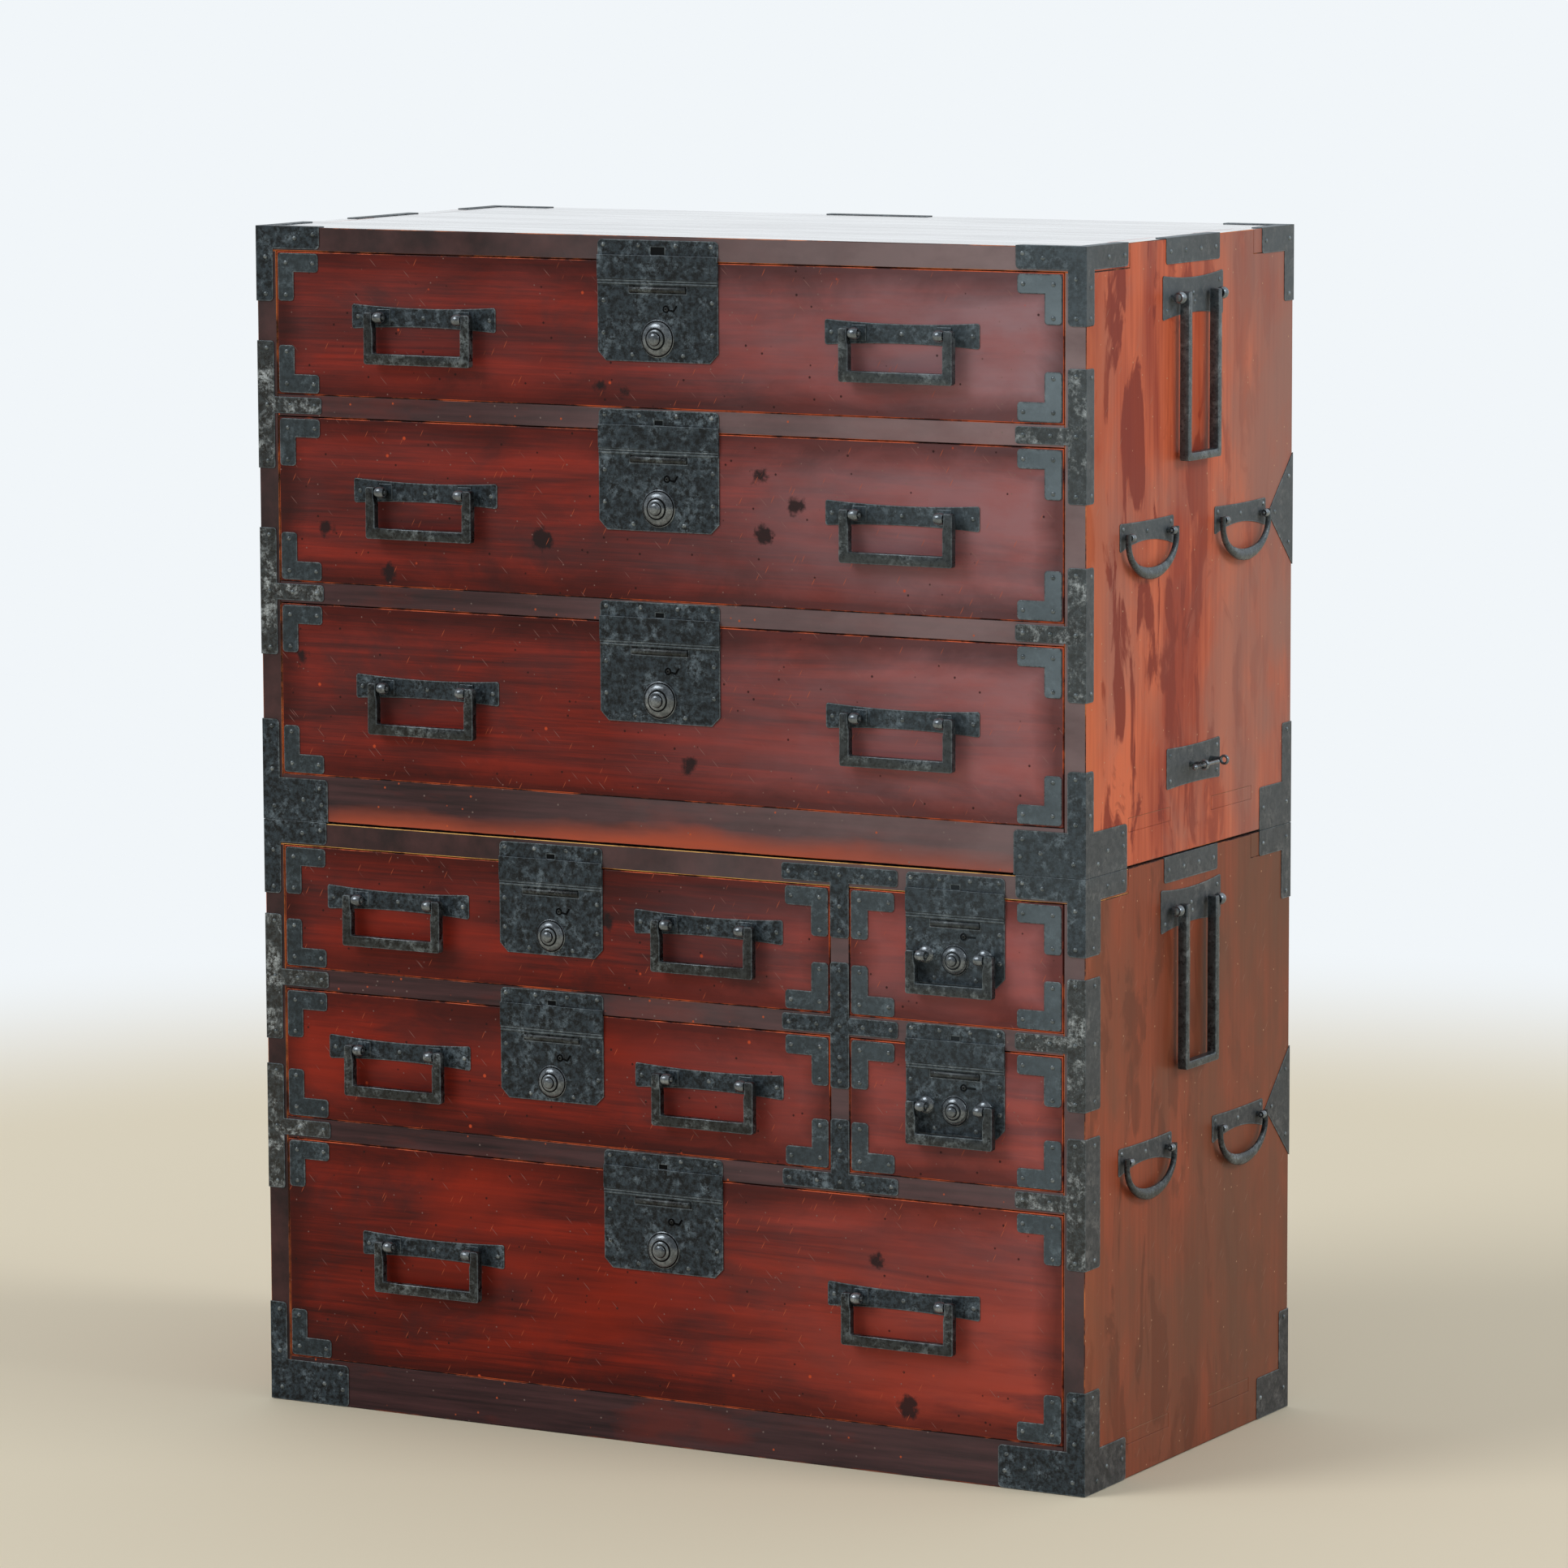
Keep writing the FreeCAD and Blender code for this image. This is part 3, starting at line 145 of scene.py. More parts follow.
def take(piece):
    """Selects one piece alone."""
    bpy.ops.object.select_all(action="DESELECT")
    piece.select_set(True)
    bpy.context.view_layer.objects.active = piece


def block(name, low, high):
    """Squared stock between two corners, in millimetres from the middle of the front at the floor."""
    bpy.ops.object.select_all(action="DESELECT")
    bpy.ops.mesh.primitive_cube_add(size=1, location=[(a + b) / 2 for a, b in zip(low, high)])
    piece = bpy.context.object
    piece.name = piece.data.name = name
    piece.scale = [b - a for a, b in zip(low, high)]
    bpy.ops.object.transform_apply(location=True, rotation=True, scale=True)
    return piece


def work_on(piece):
    take(piece)
    bpy.ops.object.mode_set(mode="EDIT")


def leave():
    bpy.ops.object.mode_set(mode="OBJECT")


def pick(piece, kind, wanted):
    """Selects the faces, edges or corners that a rule wants, by their place or direction."""
    bpy.ops.mesh.select_mode(type=kind)
    bpy.ops.mesh.select_all(action="DESELECT")
    work = bmesh.from_edit_mesh(piece.data)
    for part in {"VERT": work.verts, "EDGE": work.edges, "FACE": work.faces}[kind]:
        if wanted(part):
            part.select_set(True)
    bmesh.update_edit_mesh(piece.data)


def saw(axis, *places):
    """Saws lines round the piece in work, across an axis."""
    direction = [float(axis == name) for name in "xyz"]
    for place in places:
        bpy.ops.mesh.select_all(action="SELECT")
        bpy.ops.mesh.bisect(plane_co=[place * share for share in direction], plane_no=direction)


def draw_out(*move):
    """Extrudes what is selected."""
    bpy.ops.mesh.extrude_region_move(TRANSFORM_OT_translate={"value": move})


def apply(piece, kind, **settings):
    """Gives a piece a modifier and applies it."""
    take(piece)
    modifier = piece.modifiers.new(kind.lower(), kind)
    for name, value in settings.items():
        setattr(modifier, name, value)
    bpy.ops.object.modifier_apply(modifier=modifier.name)


def ease(piece, width, segments=2, rim=-1, angle=30):
    """Takes the sharpness off a piece's edges. What is eased may have a finish of its own."""
    apply(
        piece, "BEVEL", width=width, segments=segments, limit_method="ANGLE",
        angle_limit=math.radians(angle), material=rim,
    )


def coat(piece, *finishes):
    for finish in finishes:
        piece.data.materials.append(finish)
    return piece


def face_finish(piece, slot, wanted):
    """Gives some faces, found by place and direction, another of the piece's finishes."""
    for face in piece.data.polygons:
        if face.material_index == 0 and wanted(face.center, face.normal):
            face.material_index = slot


def twin(piece, at=(0, 0, 0), turn=Matrix(), flipped=False):
    """Another of the same, set down elsewhere, or flipped to the other hand."""
    other = piece.copy()
    other.data = piece.data.copy()
    bpy.context.scene.collection.objects.link(other)
    other.data.transform(Matrix.Translation(at) @ turn)
    if flipped:
        other.data.transform(Matrix.Scale(-1, 4, (1, 0, 0)))
        other.data.flip_normals()
    return other


def put_away(*pieces):
    for piece in pieces:
        bpy.data.objects.remove(piece)


def weld(pieces):
    """Makes one piece of several: the first takes in the rest."""
    take(pieces[0])
    for piece in pieces[1:]:
        piece.select_set(True)
    if len(pieces) > 1:
        bpy.ops.object.join()
    return pieces[0]


def fit(name, pieces, body, slot, *nodes):
    """Welds pieces into one, carries it from millimetres to its place on the chest and gives it a body."""
    whole = weld(pieces)
    whole.name = whole.data.name = name
    whole.data.transform(Matrix.Translation((0, FRONT, 0)) @ Matrix.Scale(MM, 4))
    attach(whole, body)
    if nodes:
        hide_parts(*nodes)
    return whole


def specks(tree, place, scale, size, colour, under, shift=(0, 0, 0)):
    """Small dents and chips, scattered."""
    moved = stretched(tree, place, (1, 1, 1), shift)
    cells = add(tree, "ShaderNodeTexVoronoi", {"Vector": moved, "Scale": scale})
    return lay_over(tree, rise(tree, cells.outputs["Distance"], size, size * 0.6, 0, 0.85), under, colour)


def scratches(tree, place, slant, colour, under, length=14, shift=(0, 0, 0)):
    """Fine scratches, all leaning one way: spots drawn out thin."""
    sockets = {"Vector": place, "Location": shift, "Rotation": slant, "Scale": (1 / length, 1 / length, 1 / 260)}
    drawn = add(tree, "ShaderNodeMapping", sockets, vector_type="TEXTURE").outputs[0]
    cells = add(tree, "ShaderNodeTexVoronoi", {"Vector": drawn, "Scale": 1.0})
    return lay_over(tree, rise(tree, cells.outputs["Distance"], 0.09, 0.05, 0, 0.7), under, colour)


def painted_sheen(tree, place, under, colour, share, start=-0.06):
    """Painted sheen over a finish: reflected light, thicker towards the right and the top."""
    spot = axes(tree, place)
    across = rise(tree, spot["X"], start, 0.46, share * 0.1, share)
    thick = both(tree, across, rise(tree, spot["Z"], 0.05, 1.12, 0.12, 1))
    cloudy = clouds(tree, stretched(tree, place, (1, 1, 2)), 9, 5, 0.6)
    return lay_over(tree, both(tree, thick, rise(tree, cloudy, 0.3, 0.6, 0.6, 1)), under, colour)


def side_lacquer(name, low, high, drip, haze_and_sheen, drip_share, orange):
    """Lacquer on a case's boards: hazy, the haze partly painted reflection of the wall, with dark upright drips,
    and nearly black on the front edges under painted sheen.
    """
    finish, tree, shader, place = new_finish(name)
    spot = axes(tree, place)
    broad = clouds(tree, stretched(tree, place, (9, 9, 1.6)), 1.6, 4, 0.55, 0.4)
    fine = clouds(tree, stretched(tree, place, (150, 150, 5)), 1.5, 4, 0.6)
    streaks = clouds(tree, stretched(tree, place, (17, 17, 5)), 1.7, 5, 0.6, 0.8)
    mist = clouds(tree, stretched(tree, place, (4, 4, 2.4)), 1.8, 5, 0.6, 0.3)
    side = steps(tree, mingled(tree, broad, fine, 0.75), [(0.39, low), (0.61, high)])
    # Pale haze in cloudy patches and towards the rear: partly real haze, partly painted reflection of the wall.
    side = lay_over(tree, rise(tree, mist, 0.46, 0.62, 0, 0.5), side, haze_and_sheen)
    toward_front = rise(tree, spot["Y"], 0.14, -0.08, 0.35, 1)
    side = lay_over(tree, both(tree, rise(tree, streaks, 0.53, 0.59, 0, drip_share), toward_front), side, drip)
    toward_rear = both(tree, rise(tree, spot["Y"], 0.02, 0.23), rise(tree, mist, 0.35, 0.6, 0.3, 0.85))
    side = lay_over(tree, toward_rear, side, haze_and_sheen)
    glow = both(tree, rise(tree, spot["Y"], FRONT + 0.05, FRONT + 0.008), rise(tree, mist, 0.38, 0.56, 0.15, 1))
    side = lay_over(tree, both(tree, glow, orange), side, tint(205, 98, 48))
    side = specks(tree, place, 70, 0.07, tint(190, 150, 120), side)
    side = scratches(tree, place, (0.9, 0, 0), tint(150, 120, 105), side)
    edge_wood = steps(tree, clouds(tree, place, 26, 5, 0.6), [(0.35, tint(34, 23, 25)), (0.68, tint(70, 44, 44))])
    # Painted sheen over the dark front edges, thicker towards the right and the top.
    edge_wood = painted_sheen(tree, place, edge_wood, tint(142, 124, 126), 1.0, -0.2)
    shown = lay_over(tree, rise(tree, spot["Y"], FRONT + 0.0012, FRONT + 0.0004), side, edge_wood)
    skin(tree, shader, shown, rise(tree, broad, 0.3, 0.7, 0.34, 0.5), 0.22, fine, 0.12, 0.0006)
    return finish


def rubbed_edge(name, dark, bright, share):
    """Wood along an arris, where the lacquer is rubbed through in places."""
    finish, tree, shader, place = new_finish(name)
    rub = clouds(tree, place, 17, 8, 0.7)
    skin(tree, shader, lay_over(tree, rise(tree, rub, share - 0.06, share + 0.08), dark, bright), 0.5, 0.2)
    return finish


def bare_wood(name, dark, light, stretch):
    """Planed softwood that never had lacquer."""
    finish, tree, shader, place = new_finish(name)
    grain = clouds(tree, stretched(tree, place, stretch), 1.5, 6, 0.6)
    skin(tree, shader, steps(tree, grain, [(0.3, dark), (0.7, light)]), 0.72, grain=grain, depth=0.0006)
    return finish


case_arris = rubbed_edge("case_arris", tint(66, 36, 30), tint(196, 110, 62), 0.53)
seam_arris = rubbed_edge("seam_arris", tint(150, 88, 46), tint(226, 176, 98), 0.44)
inside_wood = bare_wood("inside_wood", tint(120, 84, 56), tint(182, 142, 98), (4, 4, 60))

# The top of each case took a thick coat, which still shines where the light grazes it. Its pale grey smears are
# painted reflection of the wall.
finish, tree, shader, place = new_finish("top_lacquer")
worn_streaks = clouds(tree, stretched(tree, place, (1.6, 22, 1)), 2.2, 6, 0.62, 0.6)
painted_glare = clouds(tree, stretched(tree, place, (5, 9, 1)), 1.5, 5, 0.6, 0.5)
top_wood = steps(tree, worn_streaks, [(0.34, tint(52, 36, 36)), (0.66, tint(126, 112, 112))])
top_wood = lay_over(tree, rise(tree, painted_glare, 0.45, 0.65, 0, 0.6), top_wood, tint(158, 154, 156))
top_roughness = rise(tree, worn_streaks, 0.36, 0.6, 0.42, 0.16)
skin(tree, shader, top_wood, top_roughness, grain=worn_streaks, relief=0.1, depth=0.0008)
wire(tree, shader, {"Coat Weight": 1.0, "Coat Roughness": 0.1, "Coat IOR": 1.8})
top_lacquer = finish

FINGER_LINES = [FINGER * i for i in (1, 2, 3, 4)]
case_lacquers = {
    "upper": side_lacquer(
        "upper_case_lacquer", low=tint(148, 54, 32), high=tint(208, 106, 72), drip=tint(118, 28, 6),
        haze_and_sheen=tint(144, 104, 94), drip_share=0.85, orange=0.6,
    ),
    "lower": side_lacquer(
        "lower_case_lacquer", low=tint(110, 54, 34), high=tint(146, 72, 48), drip=tint(84, 42, 26),
        haze_and_sheen=tint(100, 68, 52), drip_share=0.5, orange=0.15,
    ),
}

for case, base in CASES.items():
    head, floor_top = base + CASE_HEIGHT - TOP_BOARD, base + BASE_RAIL
    floor_foot = floor_top - FLOOR_BOARD
    side = block("side", (INSIDE, 0, base), (HALF_WIDTH, DEPTH, head))
    work_on(side)
    saw("y", *FINGER_LINES)
    pick(side, "FACE", lambda face: face.normal.z > 0.5 and int(face.calc_center_median().y // FINGER) in (1, 3))
    draw_out(0, 0, TOP_BOARD)
    leave()
    for finger in (1, 3):
        low = (INSIDE - 1, finger * FINGER, floor_foot)
        mortise = block("mortise", low, (HALF_WIDTH + 1, (finger + 1) * FINGER, floor_top))
        apply(side, "BOOLEAN", object=mortise, operation="DIFFERENCE", solver="EXACT")
        put_away(mortise)
    top = block("top", (-INSIDE, 0, head), (INSIDE, DEPTH, head + TOP_BOARD))
    floor = block("floor_board", (-INSIDE, RAIL_DEPTH, floor_foot), (INSIDE, DEPTH, floor_top))
    for board, fingers in ((top, (0, 2, 4)), (floor, (1, 3))):
        work_on(board)
        saw("y", *FINGER_LINES)
        for hand in (-1, 1):
            pick(
                board, "FACE",
                lambda face: face.normal.x * hand > 0.5 and int(face.calc_center_median().y // FINGER) in fingers,
            )
            draw_out(hand * (HALF_WIDTH - INSIDE), 0, 0)
        leave()
    bearer = block("bearer", (-INSIDE, DEPTH - RAIL_DEPTH, base), (INSIDE, DEPTH, floor_foot))
    for board in (side, top, floor, bearer):
        arris = seam_arris if case == "lower" and board == top else case_arris
        coat(board, case_lacquers[case], arris, inside_wood, top_lacquer)
        ease(board, 0.7, rim=1)
        if board in (side, top):
            face_finish(board, 3, lambda centre, normal: normal.z > 0.5 and centre.z > head + 10)
    # The floor's joints, and the top's edges behind the front, were lacquered over and show no arris.
    for board in (side, floor):
        for face in board.data.polygons:
            x, y, z = face.center
            if face.material_index == 1 and 5 < y < DEPTH - 5 and base + 5 < z < floor_top + 4:
                face.material_index = 0
    for face in top.data.polygons:
        if face.material_index == 1 and face.center.y > 60:
            face.material_index = 0
    face_finish(side, 2, lambda centre, normal: normal.x < -0.5)
    face_finish(top, 2, lambda centre, normal: normal.z < -0.5)
    face_finish(floor, 2, lambda centre, normal: abs(normal.x) < 0.5)
    face_finish(bearer, 2, lambda centre, normal: True)
    boards = [side, twin(side, flipped=True), top, floor, bearer]
    fit(f"{case}_case_boards", boards, f"{case}_case", "side_wood", f"{case}_carcass")


# The front rails and the divider, planed from one stock and let into the sides. They are lacquered
# nearly black, rubbed to orange along their edges; dust boards of bare wood lie behind them.
RAIL, SHELF, BACK_BOARD = 21, 9, 8
DIVIDER_X, POST, PANEL = 192.5, 20, 12
RAIL_TOPS = {"lower": (285, 434), "upper": (814, 996)}
DIVIDED = ((285, 128, RAIL - SHELF), (434, 121, 0))

finish, tree, shader, place = new_finish("rail_lacquer")
spot = axes(tree, place)
grain = clouds(tree, stretched(tree, place, (4, 60, 90)), 1.5, 5, 0.6)
smoke = clouds(tree, stretched(tree, place, (3, 8, 10)), 2.0, 5)
rails = steps(tree, grain, [(0.32, tint(34, 22, 26)), (0.7, tint(74, 46, 48))])
rails = lay_over(tree, rise(tree, smoke, 0.56, 0.70, 0, 0.7), rails, tint(98, 34, 26))
# Painted sheen over the rails, thicker towards the right and the top.
rails = painted_sheen(tree, place, rails, tint(150, 128, 130), 1.0, -0.2)
# The upper case's base rail was handled most, along its lower edge and less towards the right.
wander = both(tree, spot["Z"], both(tree, smoke, 0.03), "SUBTRACT")
rub = both(tree, rise(tree, wander, 0.586, 0.566), rise(tree, spot["Z"], 0.5785, 0.5795))
rub = both(tree, rub, rise(tree, spot["X"], -0.43, -0.36))
rub = both(tree, rub, rise(tree, spot["X"], 0.05, 0.42, 0.85, 0.4))
rails = lay_over(tree, rub, rails, tint(176, 80, 54))
rails = specks(tree, place, 80, 0.09, tint(120, 104, 100), rails)
rails = specks(tree, place, 60, 0.08, tint(186, 84, 48), rails, (3, 1, 2))
skin(tree, shader, rails, 0.4, 0.22, grain)
rail_lacquer = finish
rail_arris = rubbed_edge("rail_arris", tint(44, 26, 26), tint(176, 84, 50), 0.54)


def squared(name, low, high, *finishes, eased=0.6):
    """A planed board with its edges eased."""
    board = coat(block(name, low, high), *finishes)
    ease(board, eased, rim=1)
    return board


for case, base in CASES.items():
    in_front = [((-INSIDE, 0, base), (INSIDE, RAIL_DEPTH, base + BASE_RAIL))]
    behind = []
    for top in RAIL_TOPS[case]:
        in_front.append(((-INSIDE, 0, top - RAIL), (INSIDE, RAIL_DEPTH, top)))
        behind.append(((-INSIDE, RAIL_DEPTH, top - SHELF), (INSIDE, DEPTH - BACK_BOARD, top)))
    for low, height, drop in DIVIDED if case == "lower" else ():
        left, right = DIVIDER_X - POST / 2, DIVIDER_X + POST / 2
        in_front.append(((left, 0, low), (right, RAIL_DEPTH, low + height)))
        left, right = DIVIDER_X - PANEL / 2, DIVIDER_X + PANEL / 2
        behind.append(((left, RAIL_DEPTH, low), (right, DEPTH - BACK_BOARD, low + height + drop)))
    boards = [squared("rail", *corners, rail_lacquer, rail_arris) for corners in in_front]
    boards += [squared("dust_board", *corners, inside_wood, inside_wood) for corners in behind]
    fit(f"{case}_front_rails", boards, f"{case}_case", "frame_wood", f"{case}_rails")


# The back boards: three level boards of bare softwood to a case, gone brown with age, shrunk a little
# apart and let in between the sides.
BACK_BOARDS, SHRINKAGE = 3, 0.15
back_wood = bare_wood("back_wood", tint(92, 60, 40), tint(150, 110, 76), (3, 60, 60))
back_arris = rubbed_edge("back_arris", tint(70, 44, 30), tint(140, 100, 66), 0.5)
for case, base in CASES.items():
    low, high = base + BASE_RAIL, base + CASE_HEIGHT - TOP_BOARD
    step = (high - low) / BACK_BOARDS
    boards = [
        squared(
            "back_board", (-INSIDE, DEPTH - BACK_BOARD, low + i * step + SHRINKAGE),
            (INSIDE, DEPTH, low + (i + 1) * step - SHRINKAGE), back_wood, back_arris, eased=1.0,
        )
        for i in range(BACK_BOARDS)
    ]
    fit(f"{case}_back", boards, f"{case}_case", "back_wood", f"{case}_back_boards")


# The drawers: a thick front board, lacquered red and darker towards its rim, on a box of thin
# bare boards. The front shows level grain, and its edges are rubbed to orange.
DRAWERS = {
    "top": "wide", "second": "wide", "third": "wide", "bottom": "wide", "middle_upper": "middle",
    "middle_lower": "middle", "small_upper": "small", "small_lower": "small",
}
FRONT_BOARD, DRAWER_SIDE, DRAWER_FLOOR, HEADROOM = 20, 10, 7, 7
drawer_arris = rubbed_edge("drawer_arris", tint(62, 24, 20), tint(204, 92, 52), 0.5)
drawer_wood = bare_wood("drawer_wood", tint(150, 112, 74), tint(196, 160, 116), (40, 4, 60))

# Where a knot or a burn has darkened a front: x and height on the chest, and its radius.
KNOTS = {
    "top": ((-64, 1016, 9), (-39, 1012, 8)),
    "second": ((108, 937, 12), (148, 910, 12), (112, 881, 13), (-374, 868, 11), (-300, 828, 12), (-130, 868, 15)),
    "third": ((-404, 742, 10), (30, 660, 12)),
    "bottom": ((231, 204, 11), (265, 65, 15)),
    "middle_upper": ((-60, 505, 12),), "middle_lower": ((-120, 372, 16),),
    "small_upper": ((330, 470, 9),), "small_lower": ((300, 330, 9),),
}
# How far in from its ragged outline a knot starts, and how soft its edge is, in metres.
KNOT_RAGGED, KNOT_SOFT = 0.009, 0.005


def front_lacquer(name, low, high):
    """Red lacquer over level grain with smoky patches, darker towards the rim, lighter and redder towards the
    right as painted light, and under painted sheen thicker towards the right and the top.
    """
    finish, tree, shader, place = new_finish(f"{name}_front_lacquer")
    spot = axes(tree, place)
    shift = (low.x * 3, 0, low.z * 7)
    bands = clouds(tree, stretched(tree, place, (1.2, 1, 13), shift), 1.7, 7, 0.62, 1.1)
    grain = clouds(tree, stretched(tree, place, (4, 60, 170), shift), 1.6, 6, 0.68, 0.2)
    smoke = clouds(tree, stretched(tree, place, (5, 1, 9), shift), 1.6, 5, 0.62, 0.6)
    stops = [(0.39, tint(66, 22, 16)), (0.62, tint(134, 37, 18)), (0.5, tint(101, 29, 17))]
    wood = steps(tree, mingled(tree, bands, grain, 0.6), stops)
    wood = lay_over(tree, rise(tree, smoke, 0.50, 0.68, 0, 0.7), wood, tint(64, 32, 30))
    warm = clouds(tree, stretched(tree, place, (1, 1, 2.6), shift), 3.2, 4, 0.5)
    wood = lay_over(tree, rise(tree, warm, 0.54, 0.66, 0, 0.5), wood, tint(150, 42, 20))
    # Painted light: lighter and redder towards the right, along the grain bands; then painted sheen over all.
    painted_light_right = both(tree, rise(tree, spot["X"], 0.0, 0.42), rise(tree, bands, 0.42, 0.58, 0.3, 0.85))
    wood = painted_sheen(tree, place, lay_over(tree, painted_light_right, wood, tint(166, 60, 34)), tint(150, 124, 131), 1.0)
    past_edge = []
    for axis, start, stop in (("X", low.x, high.x), ("Z", low.z, high.z)):
        from_middle = both(tree, both(tree, spot[axis], (start + stop) / 2, "SUBTRACT"), 0, "ABSOLUTE")
        past_edge.append(both(tree, from_middle, (stop - start) / 2, "SUBTRACT"))
    # Darker towards the rim of the front.
    rim = both(tree, both(tree, *past_edge, "MAXIMUM"), both(tree, smoke, 0.04), "ADD")
    wood = lay_over(tree, rise(tree, rim, -0.012, 0.014, 0, 0.6), wood, tint(44, 20, 18))
    ragged = both(tree, clouds(tree, place, 110, 4, 0.6), 0.022)
    for x, z, radius in KNOTS[name]:
        away = add(tree, "ShaderNodeVectorMath", {0: place, 1: (x * MM, FRONT, z * MM)}, operation="DISTANCE")
        away = both(tree, away.outputs["Value"], ragged, "ADD")
        edge = radius * MM + KNOT_RAGGED
        wood = lay_over(tree, rise(tree, away, edge, edge - KNOT_SOFT, 0, 0.9), wood, tint(36, 33, 35))
    wood = specks(tree, place, 82, 0.075, tint(130, 100, 94), wood, shift)
    wood = specks(tree, place, 60, 0.09, tint(44, 26, 26), wood, (7, 3, 5))
    wood = specks(tree, place, 24, 0.05, tint(196, 78, 46), wood, (2, 9, 4))
    wood = scratches(tree, place, (0, 0.8, 0), tint(140, 104, 98), wood)
    wood = scratches(tree, place, (0, -1.1, 0), tint(192, 96, 64), wood, 18, (0.3, 0.37, 0.1))
    skin(tree, shader, wood, rise(tree, smoke, 0.3, 0.7, 0.34, 0.5), 0.13, grain)
    return finish


def in_millimetres(node):
    """A CAD node's low and high corner, in the millimetres that pieces are made in."""
    return [(corner - Vector((0, FRONT, 0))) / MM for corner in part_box(node)]


for name in DRAWERS:
    low, high = in_millimetres(f"drawer_{name}")
    lacquer = front_lacquer(name, *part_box(f"drawer_{name}"))
    wall_top, back = high.z - HEADROOM, high.y - DRAWER_SIDE
    left, right = low.x + DRAWER_SIDE, high.x - DRAWER_SIDE
    front = block("front", (low.x, 0, low.z), (high.x, FRONT_BOARD, high.z))
    coat(front, lacquer, drawer_arris, drawer_wood)
    ease(front, 0.8, rim=1)
    face_finish(front, 2, lambda centre, normal: normal.y > 0.5)
    boards = [front]
    for corners in (
        ((low.x, FRONT_BOARD, low.z), (left, high.y, wall_top)),
        ((right, FRONT_BOARD, low.z), (high.x, high.y, wall_top)),
        ((left, back, low.z), (right, high.y, wall_top)),
        ((left, FRONT_BOARD, low.z), (right, back, low.z + DRAWER_FLOOR)),
    ):
        boards.append(squared("drawer_board", *corners, drawer_wood, drawer_wood, eased=0.5))
    fit(f"{name}_drawer_boards", boards, f"drawer_{name}", "drawer_wood", f"drawer_{name}")


# The sheet irons of the cases: corner irons, straps, edge plates, triangles and crosses, cut from thin
# blackened sheet, bent hot round the edges of the boards and nailed on.
SHEET, RUBBED_RIM = 0.8, 0.9


def iron_finish(name, dark, light, bloom_and_glint, roughness=0.44, metallic=0.2, specular=0.3, rough_skin=0.4, haze_and_sheen=0.3):
    """Iron blackened over charcoal: finely mottled, with larger blooms, near-white ones being painted glints, and
    under painted sheen thicker towards the right and the top.
    """
    finish, tree, shader, place = new_finish(name)
    mottle = clouds(tree, place, 150, 8, 0.8)
    bloom_and_glint_patches = clouds(tree, place, 42, 8, 0.75, 0.5)
    colour = steps(tree, mottle, [(0.43, dark), (0.58, light)])
    # Light blooms over the mottle; near-white blooms are painted glints.
    bloom_and_glint_share = both(tree, rise(tree, bloom_and_glint_patches, 0.50, 0.66, 0, 0.9), rise(tree, mottle, 0.44, 0.56))
    colour = lay_over(tree, bloom_and_glint_share, colour, bloom_and_glint)
    # Painted sheen, thicker towards the right and the top.
    colour = painted_sheen(tree, place, colour, tint(124, 140, 150), haze_and_sheen, 0.04)
    rough = rise(tree, mottle, 0.3, 0.7, roughness - 0.12, roughness + 0.14)
    skin(tree, shader, colour, rough, specular, mottle, rough_skin)
    shader.inputs["Metallic"].default_value = metallic
    return finish


sheet_iron = iron_finish("sheet_iron", tint(15, 19, 23), tint(54, 65, 73), tint(112, 126, 136))
rim_iron = iron_finish("rim_iron", tint(62, 70, 75), tint(98, 107, 112), tint(132, 141, 146), 0.36, 0.4, haze_and_sheen=0.15)
# Lighter grey iron for the chest's sides: partly its own colour, partly painted light from the wall.
leaf_iron = iron_finish("leaf_iron", tint(34, 34, 35), tint(68, 67, 67), tint(102, 100, 98), 0.55, 0.0)
# The glossy straps' near-white blooms are painted glints.
gloss_iron = iron_finish(
    "gloss_iron", tint(6, 8, 10), tint(56, 64, 69), tint(196, 206, 212), 0.22, 0.4, 0.9, 1.0, 0.25
)
# The ells' plain iron takes the most painted sheen.
plain_iron = iron_finish(
    "plain_iron", tint(30, 37, 41), tint(50, 60, 66), tint(92, 106, 114), 0.5, rough_skin=0.2, haze_and_sheen=0.9
)
nail_iron = iron_finish("nail_iron", tint(70, 77, 80), tint(118, 126, 130), tint(170, 178, 182), 0.3, 0.6)
# Near-black painted shade for pits, grooves and keyholes.
painted_shade = iron_finish("painted_shade", tint(6, 6, 7), tint(12, 12, 12), tint(18, 18, 18), 0.8, 0.0, 0.1)


def rubbed_plate(plate, gauge, *finishes):
    """Marks off the rim of the sheet in work, rubbed by hands and cloths, and gives the sheet its gauge."""
    bpy.ops.mesh.select_mode(type="FACE")
    bpy.ops.mesh.select_all(action="SELECT")
    bpy.ops.mesh.inset(thickness=RUBBED_RIM, use_boundary=True, use_even_offset=True)
    leave()
    coat(plate, *finishes)
    for face in plate.data.polygons:
        face.material_index = 0 if face.select else 1
    apply(plate, "SOLIDIFY", thickness=gauge, offset=1, use_even_offset=True)
    ease(plate, 0.3, rim=1, angle=40)
    # Faces on the chest's side take the lighter grey iron: partly painted light from the wall.
    if len(finishes) > 2:
        face_finish(plate, 2, lambda centre, normal: normal.x > 0.5)
    return plate


